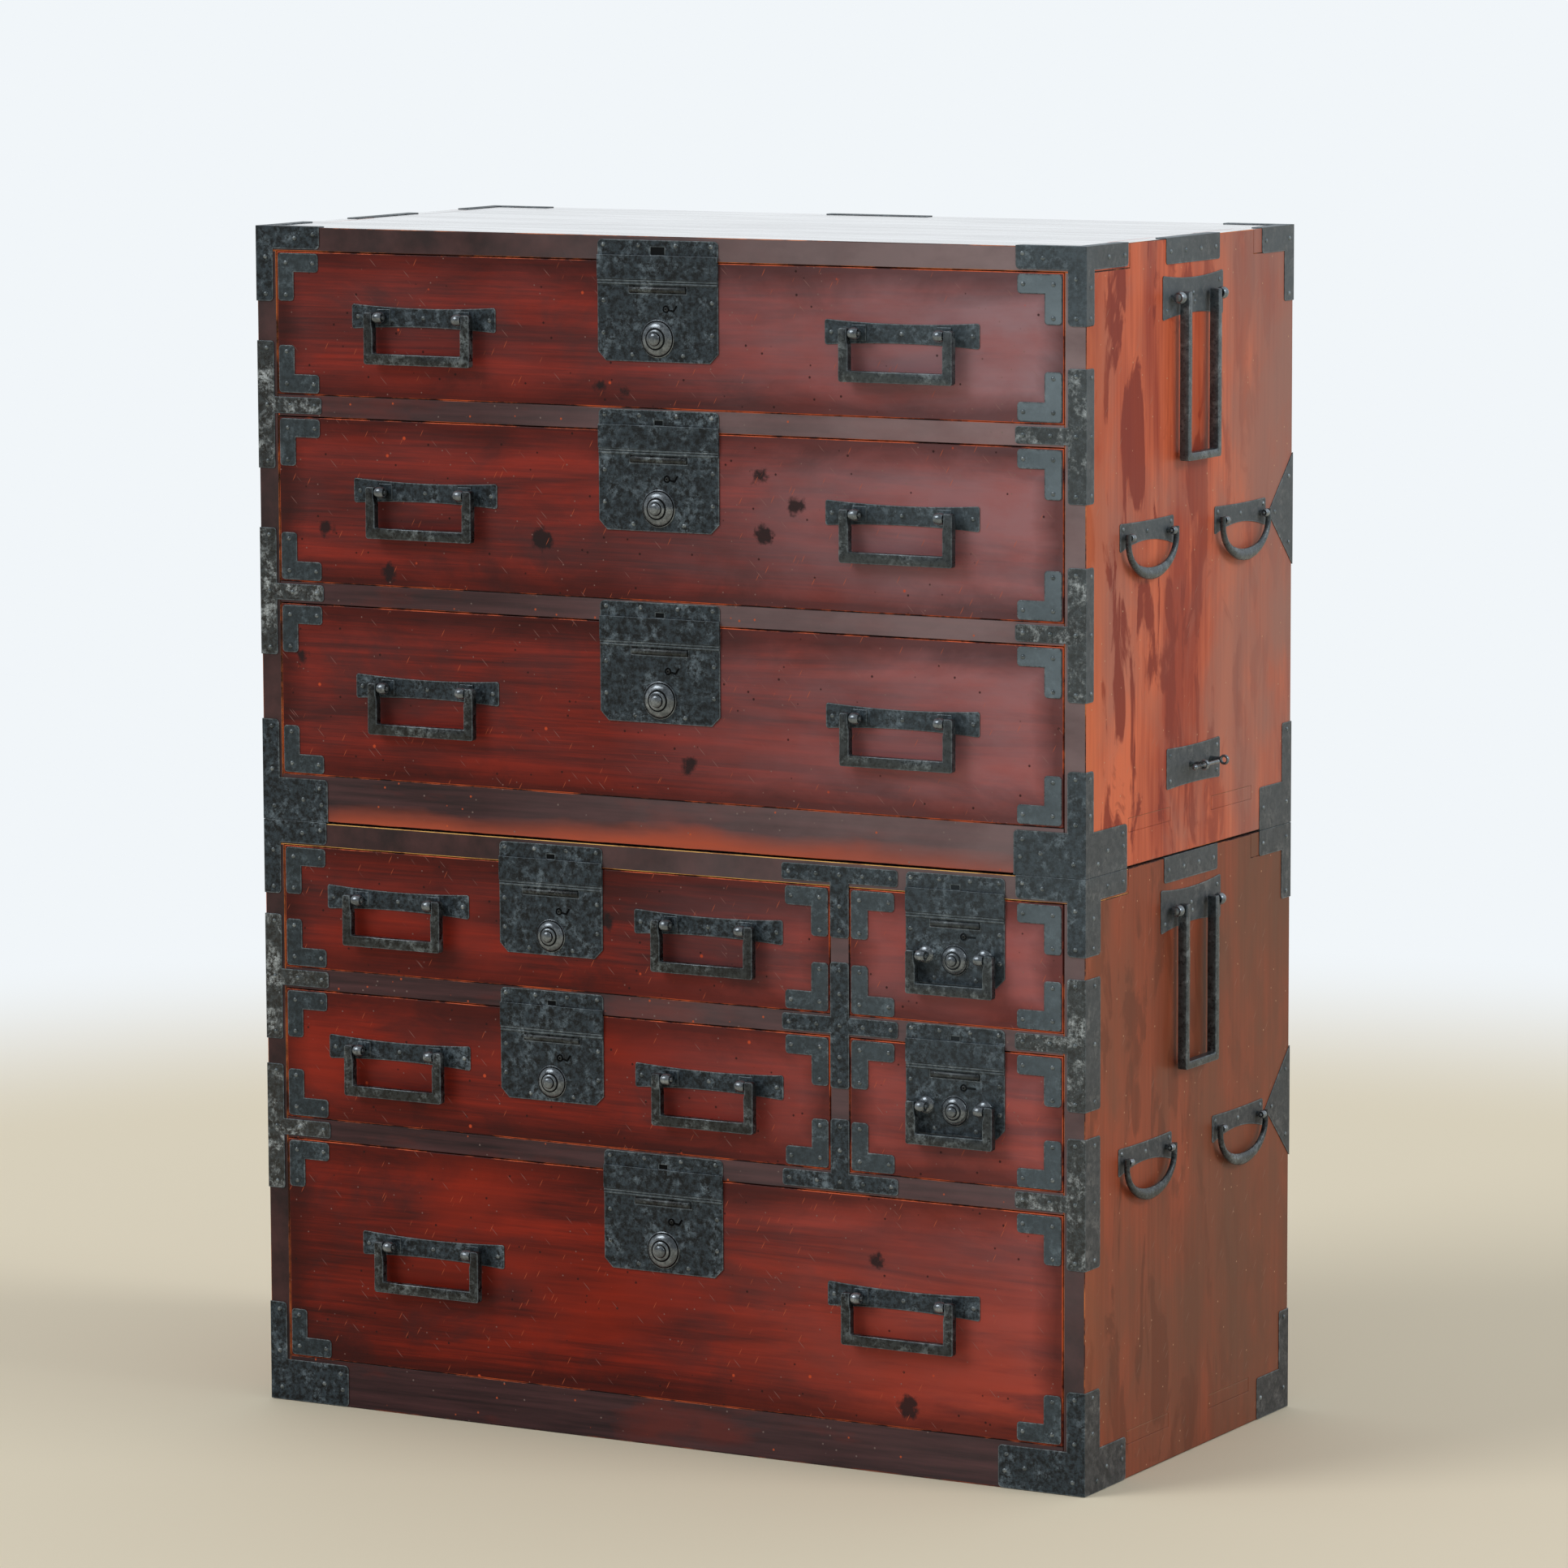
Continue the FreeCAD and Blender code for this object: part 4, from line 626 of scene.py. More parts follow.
def cut_sheet(name, low, high, lines, kept, corner=3.0, iron=None):
    """Sheet iron over a block's skin, which is sawn along lines; what isn't kept is dropped."""
    sheet = block(name, low, high)
    work_on(sheet)
    for axis, places in lines.items():
        saw(axis, *places)
    pick(sheet, "FACE", lambda face: not kept(face.calc_center_median(), face.normal))
    bpy.ops.mesh.delete(type="FACE")
    if corner:
        pick(sheet, "VERT", lambda point: len(point.link_faces) == 1)
        bpy.ops.mesh.bevel(offset=corner, segments=4, affect="VERTICES")
    return rubbed_plate(sheet, SHEET, iron or sheet_iron, rim_iron, leaf_iron)


def turned(name, rings, sides=32):
    """A round piece that stands out of the front: its rings are radius and distance from the wood."""
    bpy.ops.object.select_all(action="DESELECT")
    radius, out = rings[0]
    bpy.ops.mesh.primitive_circle_add(
        vertices=sides, radius=radius, fill_type="NGON", location=(0, -out, 0), rotation=(math.pi / 2, 0, 0)
    )
    piece = bpy.context.object
    piece.name = name
    bpy.ops.object.transform_apply(location=True, rotation=True, scale=True)
    bpy.ops.object.mode_set(mode="EDIT")
    for next_radius, next_out in rings[1:]:
        draw_out(0, out - next_out, 0)
        share = next_radius / radius
        bpy.ops.transform.resize(value=(share, 1, share), center_override=(0, -next_out, 0))
        radius, out = next_radius, next_out
    bpy.ops.mesh.select_all(action="SELECT")
    bpy.ops.mesh.normals_make_consistent(inside=False)
    leave()
    return piece


def smooth(piece, angle=35):
    """Shades a piece round wherever its faces meet at less than an angle."""
    take(piece)
    bpy.ops.object.shade_smooth_by_angle(angle=math.radians(angle))


nail = coat(turned("nail", [(2.3, 0), (2.15, 0.45), (1.5, 0.9), (0.5, 1.1)], sides=12), nail_iron)
smooth(nail, 60)
flat_nail = twin(nail, turn=Matrix.Scale(0.17, 4, (0, 1, 0)))
ON_RIGHT = Matrix.Rotation(math.pi / 2, 4, "Z")
ON_LEFT = Matrix.Rotation(-math.pi / 2, 4, "Z")
ON_BACK = Matrix.Rotation(math.pi, 4, "Z")
ON_TOP = Matrix.Rotation(-math.pi / 2, 4, "X")


def nails(face, *spots, height=0.0):
    """Nails in the iron on one face: front and back spots are x, z, side spots y, z, top spots x, y."""
    if face == "front":
        return [twin(nail, (x, -SHEET, z)) for x, z in spots]
    if face == "side":
        return [twin(nail, (HALF_WIDTH + SHEET, y, z), ON_RIGHT) for y, z in spots]
    if face == "back":
        return [twin(flat_nail, (x, DEPTH + SHEET, z), ON_BACK) for x, z in spots]
    return [twin(flat_nail, (x, y, height + SHEET), ON_TOP) for x, y in spots]


EDGE_BAND, FLAP, TOP_BAND, BASE_BAND, SIDE_ARM = 18.5, 12, 21, 41, 84
SIDE_BAND = {"upper": 15, "lower": 30}
BASE_ARM = {"upper": 74, "lower": 90}
TOP_ARM, TOP_LEG, BASE_LEG = 72, 72, 98
BACK_ARM, BACK_BAND, REAR_BAND = 70, 20, 24
STRAP, STRAP_TAB, STRAP_BAND = 124, 54, 16


def leg_and_band(case, at_top, leg, band):
    """A corner iron's ends, its band's edge and middle, its last nail, and which way is inward."""
    low = CASES[case] + (CASE_HEIGHT - leg if at_top else 0)
    high = low + leg
    if at_top:
        edge, end, inward = high - band, low + 7, -1
    else:
        edge, end, inward = low + band, high - 7, 1
    return low, high, edge, (edge + (high if at_top else low)) / 2, end, inward


def front_corner(case, at_top):
    """A corner iron on the front, the side and the edge between them."""
    side_band = SIDE_BAND[case]
    arm, band, leg = (TOP_ARM, TOP_BAND, TOP_LEG) if at_top else (BASE_ARM[case], BASE_BAND, BASE_LEG)
    low_z, high_z, edge, middle, end, inward = leg_and_band(case, at_top, leg, band)

    def kept(centre, normal):
        in_band = (centre.z - edge) * inward < 0
        if normal.y < -0.5:
            return centre.x > HALF_WIDTH - EDGE_BAND or in_band
        if normal.x > 0.5:
            return centre.y < side_band or in_band
        if (at_top or case == "upper") and normal.z * inward < -0.5:
            return centre.y < FLAP or centre.x > HALF_WIDTH - FLAP
        return False

    lines = {"x": (HALF_WIDTH - EDGE_BAND, HALF_WIDTH - FLAP), "y": (FLAP, side_band), "z": (edge,)}
    low, high = (HALF_WIDTH - arm, 0, low_z), (HALF_WIDTH, SIDE_ARM, high_z)
    iron = cut_sheet("corner_iron", low, high, lines, kept, 4.2)
    spots = nails(
        "front", (HALF_WIDTH - arm + 7, middle - 4 * inward), (HALF_WIDTH - arm + 28, middle),
        (HALF_WIDTH - 10, edge + inward * 8), (HALF_WIDTH - 10, end),
    )
    spots += nails(
        "side", (SIDE_ARM - 8, middle), (SIDE_ARM - 40, middle), (side_band / 2, edge + inward * 16),
        (side_band / 2, end),
    )
    if not at_top:
        spots += nails("front", (HALF_WIDTH - arm + 9, middle + 12), (HALF_WIDTH - 12, middle - 8))
        spots += nails("side", (SIDE_ARM - 9, middle + 12), (SIDE_ARM - 60, middle - 10))
    elif case == "upper":
        on_top = ((HALF_WIDTH - arm + 14, 6), (HALF_WIDTH - 30, 6), (HALF_WIDTH - 6, 46))
        spots += nails("top", *on_top, height=high_z)
    return [iron] + spots


def rear_corner(case, at_top):
    """The same at the back."""
    leg, band = (TOP_LEG, REAR_BAND) if at_top else (BASE_LEG, BASE_BAND)
    low_z, high_z, edge, middle, end, inward = leg_and_band(case, at_top, leg, band)

    def kept(centre, normal):
        in_band = (centre.z - edge) * inward < 0
        if normal.y > 0.5:
            return centre.x > HALF_WIDTH - BACK_BAND or in_band
        if normal.x > 0.5:
            return centre.y > DEPTH - BACK_BAND or in_band
        if (at_top or case == "upper") and normal.z * inward < -0.5:
            return centre.y > DEPTH - FLAP or centre.x > HALF_WIDTH - FLAP
        return False

    lines = {
        "x": (HALF_WIDTH - BACK_BAND, HALF_WIDTH - FLAP), "y": (DEPTH - FLAP, DEPTH - BACK_BAND), "z": (edge,),
    }
    low = (HALF_WIDTH - BACK_ARM, DEPTH - BACK_ARM, low_z)
    iron = cut_sheet("rear_corner_iron", low, (HALF_WIDTH, DEPTH, high_z), lines, kept)
    spots = nails("side", (DEPTH - BACK_ARM + 8, middle), (DEPTH - 10, middle), (DEPTH - 10, end))
    spots += nails("back", (HALF_WIDTH - BACK_ARM + 8, middle), (HALF_WIDTH - 10, middle), (HALF_WIDTH - 10, end))
    return [iron] + spots


def strap(case, rail_top):
    """A T-shaped strap over a rail's end, bent round the edge of the side board."""
    middle, side_band = rail_top - RAIL / 2, SIDE_BAND[case]
    low, high = middle - STRAP / 2, middle + STRAP / 2

    def kept(centre, normal):
        if normal.y < -0.5:
            return centre.x > HALF_WIDTH - EDGE_BAND or abs(centre.z - middle) < STRAP_BAND / 2
        return normal.x > 0.5

    lines = {"x": (HALF_WIDTH - EDGE_BAND,), "z": (middle - STRAP_BAND / 2, middle + STRAP_BAND / 2)}
    tab_end = HALF_WIDTH - EDGE_BAND - STRAP_TAB
    iron = cut_sheet("strap", (tab_end, 0, low), (HALF_WIDTH, side_band, high), lines, kept, iron=gloss_iron)
    spots = nails(
        "front", (HALF_WIDTH - 10, low + 7), (HALF_WIDTH - 10, high - 7), (HALF_WIDTH - 10, middle),
        (tab_end + 8, middle), (HALF_WIDTH - EDGE_BAND - 18, middle),
    )
    spots += nails("side", (side_band * 0.6, low + 8), (side_band * 0.6, high - 8), (side_band * 0.6, middle))
    return [iron] + spots


EDGE_PLATE = 114


def edge_plate(case):
    """A plate bent over the middle of a top edge at the side."""
    top, middle = CASES[case] + CASE_HEIGHT, DEPTH / 2
    low = (HALF_WIDTH - FLAP, middle - EDGE_PLATE / 2, top - REAR_BAND)
    iron = cut_sheet(
        "edge_plate", low, (HALF_WIDTH, middle + EDGE_PLATE / 2, top), {},
        lambda centre, normal: normal.x > 0.5 or normal.z > 0.5,
    )
    z = top - REAR_BAND / 2
    return [iron] + nails("side", *[(middle + share * EDGE_PLATE, z) for share in (-0.42, -0.14, 0.14, 0.42)])


def rear_plate(case):
    """The same behind."""
    top = CASES[case] + CASE_HEIGHT
    iron = cut_sheet(
        "rear_plate", (-EDGE_PLATE / 2, DEPTH - FLAP, top - REAR_BAND), (EDGE_PLATE / 2, DEPTH, top), {},
        lambda centre, normal: normal.y > 0.5 or normal.z > 0.5,
    )
    z = top - REAR_BAND / 2
    return [iron] + nails("back", *[(share * EDGE_PLATE, z) for share in (-0.42, 0, 0.42)])


WEDGE_HEIGHT, WEDGE_REACH, WEDGE_MIDDLE = 108, 54, 305


def wedge(case):
    """A square of sheet on its corner, bent round the rear edge into two triangles."""
    middle = CASES[case] + WEDGE_MIDDLE
    bpy.ops.object.select_all(action="DESELECT")
    bpy.ops.mesh.primitive_circle_add(vertices=4, radius=WEDGE_REACH, fill_type="NGON")
    iron = bpy.context.object
    work_on(iron)
    pick(iron, "VERT", lambda point: abs(point.co.x) < 1)
    bpy.ops.mesh.vert_connect()
    leave()
    for point in iron.data.vertices:
        side, up = point.co.x, point.co.y
        if side > 1:
            point.co = (HALF_WIDTH - WEDGE_REACH, DEPTH, middle)
        elif side < -1:
            point.co = (HALF_WIDTH, DEPTH - WEDGE_REACH, middle)
        else:
            point.co = (HALF_WIDTH, DEPTH, middle + math.copysign(WEDGE_HEIGHT / 2, up))
    work_on(iron)
    bpy.ops.mesh.select_all(action="SELECT")
    bpy.ops.mesh.normals_make_consistent(inside=False)
    leave()
    if iron.data.polygons[0].normal.x + iron.data.polygons[0].normal.y < 0:
        iron.data.flip_normals()
    work_on(iron)
    rubbed_plate(iron, SHEET, leaf_iron, rim_iron)
    for point in iron.data.vertices:
        point.co.x, point.co.y = min(point.co.x, HALF_WIDTH + SHEET), min(point.co.y, DEPTH + SHEET)
    spots = []
    for face, edge in (("side", DEPTH), ("back", HALF_WIDTH)):
        spots += nails(face, (edge - WEDGE_REACH + 14, middle), (edge - 9, middle + 32), (edge - 9, middle - 32))
    return [iron] + spots


CROSS_ARM, CROSS_LEG = 124, 60


def cross(middle, reach_down, reach_up):
    """An iron over a crossing of the divider with a rail."""
    def kept(centre, normal):
        on_post, on_rail = abs(centre.x - DIVIDER_X) < POST / 2, abs(centre.z - middle) < STRAP_BAND / 2
        return normal.y < -0.5 and (on_post or on_rail)

    lines = {
        "x": (DIVIDER_X - POST / 2, DIVIDER_X + POST / 2), "z": (middle - STRAP_BAND / 2, middle + STRAP_BAND / 2),
    }
    low = (DIVIDER_X - CROSS_ARM / 2, 0, middle - reach_down)
    high = (DIVIDER_X + CROSS_ARM / 2, FLAP, middle + reach_up)
    iron = cut_sheet("cross", low, high, lines, kept)
    spots = [(DIVIDER_X + share * CROSS_ARM, middle) for share in (-0.44, -0.2, 0.2, 0.44)] + [(DIVIDER_X, middle)]
    for reach in (-reach_down, reach_up):
        if abs(reach) > STRAP_BAND:
            spots += [(DIVIDER_X, middle + reach * 0.88), (DIVIDER_X, middle + reach * 0.5)]
    return [iron] + nails("front", *spots)


RAIL_SHEET, DRAWER_GAP = 19.5, 0.8
HOLE, WIDE_HOLE, HOLE_UP = 4.5, 7.5, 5.4
LOCK_WIDTH = {"wide": 131, "middle": 115, "small": 104}


def rail_sheet(name, size):
    """The sheet on the rail above a lock, with its small square hole."""
    low, high = in_millimetres(f"drawer_{name}")
    middle, foot, half = (low.x + high.x) / 2, high.z + DRAWER_GAP, LOCK_WIDTH[size] / 2
    hole, hole_low = WIDE_HOLE if name == "top" else HOLE, foot + HOLE_UP
    hole_high = hole_low + hole

    def kept(centre, normal):
        in_hole = abs(centre.x - middle) < hole and hole_low < centre.z < hole_high
        return normal.y < -0.5 and not in_hole

    lines = {"x": (middle - hole, middle + hole), "z": (hole_low, hole_high)}
    low, high = (middle - half, 0, foot), (middle + half, FLAP, foot + RAIL_SHEET)
    iron = cut_sheet("rail_sheet", low, high, lines, kept, 4.5)
    # A black block behind the square hole: painted shade in the pit.
    low, high = (middle - hole - 1, -0.3, hole_low - 1), (middle + hole + 1, 0, hole_high + 1)
    dark = coat(block("hole", low, high), painted_shade)
    z = foot + RAIL_SHEET - 5
    return [iron, dark] + nails("front", *[(middle + share * half, z) for share in (-0.9, -0.32, 0.3, 0.88)])


case_irons = {}
for case in CASES:
    right = []
    for at_top in (True, False):
        right += front_corner(case, at_top) + rear_corner(case, at_top)
    for rail_top in RAIL_TOPS[case]:
        right += strap(case, rail_top)
    right += edge_plate(case) + wedge(case)
    case_irons[case] = right + [twin(piece, flipped=True) for piece in right] + rear_plate(case)
for name, size in DRAWERS.items():
    case_irons["upper" if name in ("top", "second", "third") else "lower"] += rail_sheet(name, size)
lower_top = CASES["lower"] + CASE_HEIGHT - TOP_BOARD / 2
case_irons["lower"] += cross(lower_top, CROSS_LEG, STRAP_BAND / 2)
case_irons["lower"] += cross(RAIL_TOPS["lower"][1] - RAIL / 2, CROSS_LEG, CROSS_LEG)
case_irons["lower"] += cross(RAIL_TOPS["lower"][0] - RAIL / 2, STRAP_BAND / 2, CROSS_LEG)


# The bails' back plates and eyes: hollow-sided plates of the same sheet, and forged eyes on shanks that
# are driven through the boards and clenched inside. A square washer lies under each drawer eye.
PLATE_LINES = [share / 8 for share in range(-7, 8)]


def hollow_plate(name, length, height, upper_dip, lower_dip, iron):
    """A plate with hollow long edges, centred on its hinge line."""
    half = length / 2
    plate = block(name, (-half, 0, -height / 2), (half, 4, height / 2))
    work_on(plate)
    saw("x", *[share * half for share in PLATE_LINES])
    pick(plate, "FACE", lambda face: face.normal.y > -0.5)
    bpy.ops.mesh.delete(type="FACE")
    leave()
    for point in plate.data.vertices:
        hollow = 1 - (point.co.x / half) ** 2
        point.co.z += -upper_dip * hollow if point.co.z > 0 else lower_dip * hollow
    work_on(plate)
    pick(plate, "VERT", lambda point: len(point.link_faces) == 1)
    bpy.ops.mesh.bevel(offset=2.6, segments=3, affect="VERTICES")
    return rubbed_plate(plate, SHEET, iron, rim_iron)


# The forged iron's light blooms are partly hammered mottle, partly painted glints.
forged_iron = iron_finish(
    "forged_iron", tint(8, 9, 10), tint(50, 55, 57), tint(124, 134, 138), 0.3, 0.35, 0.5, 0.8
)
polished_iron = iron_finish(
    "polished_iron", tint(92, 98, 103), tint(126, 133, 139), tint(158, 166, 172), 0.26, 0.75, 0.6, 0.05
)
ALONG_X = Matrix.Rotation(math.pi / 2, 4, "Z")


def eye(name, stand, radius, pin, width, washer=None):
    """A forged eye on its shank: a ring, drawn out to the width that its pin needs."""
    thick = (radius - pin) / 2
    bpy.ops.object.select_all(action="DESELECT")
    bpy.ops.mesh.primitive_torus_add(
        major_radius=pin + thick, minor_radius=thick, major_segments=24, minor_segments=10,
        rotation=(0, math.pi / 2, 0),
    )
    ring = bpy.context.object
    bpy.ops.object.transform_apply(location=True, rotation=True, scale=True)
    ring.data.transform(Matrix.Translation((0, -stand, 0)) @ Matrix.Scale(width / 2 / thick, 4, (1, 0, 0)))
    smooth(ring, 60)
    coat(ring, polished_iron)
    shank = coat(turned("shank", [(2.9, 0.4), (2.5, stand - radius + 1.2)], sides=12), forged_iron)
    smooth(shank)
    weld([ring, shank] + ([washer] if washer else []))
    ring.name = name
    return ring


square_washer = block("washer", (-7.5, -1.7, -7.5), (7.5, -0.6, 7.5))
coat(square_washer, sheet_iron, rim_iron)
ease(square_washer, 0.5, rim=1)
rose = coat(turned("rose", [(8.6, 0.9), (8.2, 1.8), (6.6, 3.2), (4.2, 4.0), (3.0, 4.2)], sides=28), polished_iron)
smooth(rose, 50)
EYE_STAND, CARRY_STAND, RING_STAND, BAIL_PIN = 11, 9, 6.5, 2.3
drawer_eye = eye("drawer_eye", EYE_STAND, 5.5, BAIL_PIN, 9.6, square_washer)
small_eye = eye("small_eye", EYE_STAND, 5.5, BAIL_PIN, 9.6, rose)
carry_eye = eye("carry_eye", CARRY_STAND, 6, BAIL_PIN, 9)
ring_eye = eye("ring_eye", RING_STAND, 4, 1.6, 7.4)

grip_plate = hollow_plate("grip_plate", 162, 24, 3, 3, sheet_iron)
carry_plate = hollow_plate("carry_plate", 128, 42, 4, 5, leaf_iron)
ring_plate = hollow_plate("ring_plate", 112, 27, 1, 8, leaf_iron)
BAIL_WIDTH = {"wide": 119, "middle": 111, "small": 91}
BAIL_BAR, BAIL_HEAD = 9, 5
EYE_PITCH = {size: width - 2 * BAIL_BAR - 0.8 - 11 for size, width in BAIL_WIDTH.items()}
RING_PITCH, CARRY_PITCH = 86.2, 90
RING_Y = {"front": 124, "rear": 324}
CARRY_Z, RING_Z = {"upper": 1103, "lower": 527.5}, {"upper": 887, "lower": 303}


grip_set = [twin(grip_plate)] + nails("front", (0, 0), (-74, 0), (74, 0))
for case in CASES:
    carry_set = [twin(carry_plate)] + nails("front", (0, 2), (3, -6), (-56, -12), (56, 12))
    carry_set += [twin(carry_eye, (x, 0, 0)) for x in (-CARRY_PITCH / 2, CARRY_PITCH / 2)]
    ring_set = [twin(ring_plate)] + nails("front", (0, 3), (-50, 8), (50, 8))
    ring_set += [twin(ring_eye, (x, 0, 0)) for x in (-RING_PITCH / 2, RING_PITCH / 2)]
    for hand, turn in ((1, ON_RIGHT), (-1, ON_LEFT)):
        for piece in carry_set:
            case_irons[case].append(twin(piece, (hand * HALF_WIDTH, DEPTH / 2, CARRY_Z[case]), turn))
        for y in RING_Y.values():
            for piece in ring_set:
                case_irons[case].append(twin(piece, (hand * HALF_WIDTH, y, RING_Z[case]), turn))
    put_away(*carry_set, *ring_set)


# The catch on each side of the upper case: a plate with two looped eyes, and a pin that slides through
# them to hold up the lower case's carrying bail.
catch_plate = hollow_plate("catch_plate", 114, 39, 1.5, 1.5, leaf_iron)
CATCH_Y, CATCH_PITCH, CATCH_Z, CATCH_STAND = 217, 43, 661.5, 15.6
PIN_RINGS = [(1.0, -27), (1.9, -26), (1.8, -20), (1.8, 20.5), (2.5, 21.6), (2.8, 23.6), (2.4, 25.6), (1.0, 27)]
loop = eye("loop", CATCH_STAND, 5, 2.4, 4.2)
for hand, turn in ((1, ON_RIGHT), (-1, ON_LEFT)):
    plate_y = CATCH_Y + CATCH_PITCH / 6
    case_irons["upper"].append(twin(catch_plate, (hand * HALF_WIDTH, plate_y, CATCH_Z), turn))
    for spot in nails("front", (-50, 12), (50, -12), (-50, -12), (50, 12)):
        case_irons["upper"].append(twin(spot, (hand * HALF_WIDTH, plate_y, CATCH_Z), turn))
        put_away(spot)
    for y in (CATCH_Y, CATCH_Y + CATCH_PITCH):
        case_irons["upper"].append(twin(loop, (hand * HALF_WIDTH, y, CATCH_Z), turn))
    pin = coat(turned("pin", PIN_RINGS, sides=16), polished_iron)
    smooth(pin)
    pin.data.transform(Matrix.Translation((hand * (HALF_WIDTH + CATCH_STAND), DEPTH / 2, CATCH_Z)))
    side = "right" if hand > 0 else "left"
    fit(f"sliding_pin_{side}", [pin], f"catch_pin_{side}", "iron_bright", f"catch_pin_{side}")

for case, pieces in case_irons.items():
    fit(f"{case}_case_irons", pieces, f"{case}_case", "iron", f"{case}_irons")


# The drawer irons: an L-shaped plate in each corner of a front, the handles' back plates and eyes, and
# the lock plate, with its raised band over the rail, its latch bar, keyhole and turned boss.
ELL_ARM, ELL_BAND, ELL_INSET = 46, 18, 1.5
LOCK_LIP, LOCK_BAND, LOCK_CORNER = 5, 17.5, 9
LOCK_HEIGHT = {"wide": 95, "middle": 88, "small": 84}
BOSS, FULL_BOSS = {"wide": 18, "middle": 16, "small": 14.5}, 18
BOSS_DROP = {"wide": 73, "middle": 69, "small": 60.5}
KEY_DROP = {"wide": 45, "middle": 45, "small": 38}
SLOT = {"wide": 62, "middle": 62, "small": 52}
SLOT_DROP, SLOT_HEIGHT, KEY_SIDE, LOCK_SHEET = 27, 7, 9, 1.2

ell = cut_sheet(
    "ell", (0, 0, 0), (ELL_ARM, FLAP, ELL_ARM), {"x": (ELL_BAND,), "z": (ELL_BAND,)},
    lambda centre, normal: normal.y < -0.5 and (centre.x < ELL_BAND or centre.z < ELL_BAND),
    corner=3.4, iron=plain_iron,
)
ell_set = [ell] + nails("front", (ELL_ARM - 6, 9), (9, 9), (9, ELL_ARM - 6))
TIPPED = [Matrix.Rotation(turn, 4, "Y") for turn in (0, -math.pi / 2, math.pi, math.pi / 2)]

# The keyhole: a round hole, and slots off it by their start, length and slant. The small locks have one.
KEYHOLE, KEY_SLOT = 3.7, 1.1
HOOKED = ((0, 0, 9, -14), (8.2, -2.0, 6.5, 56))
KEY_SLOTS = {"wide": HOOKED, "middle": HOOKED, "small": ((0, 0, 13, 0),)}
# The band stands out of the plate; two ridges of the moulding below it stand out too.
BAND_OUT, MOULDING, MOULDING_OUT, RIDGE_OUT = 2.6, 6, 1.5, 0.8
RIDGES = ((1, 2.3), (3.6, 4.9))
LOCK_NAILS = ((0.9, 0.4), (0.9, 0.72), (0.42, 0.93))
# The widest lock's collar, turned in steps, with painted shade in its grooves; smaller ones keep its heights.
COLLAR_RINGS = [
    (18, 1.0), (18, 1.7), (17.4, 2.1), (16.7, 2.0), (16.2, 2.7), (15.0, 4.2), (13.4, 5.2), (11.6, 5.8),
    (10.6, 6.0), (10.4, 6.5), (9.15, 6.5), (9.15, 1.6),
]


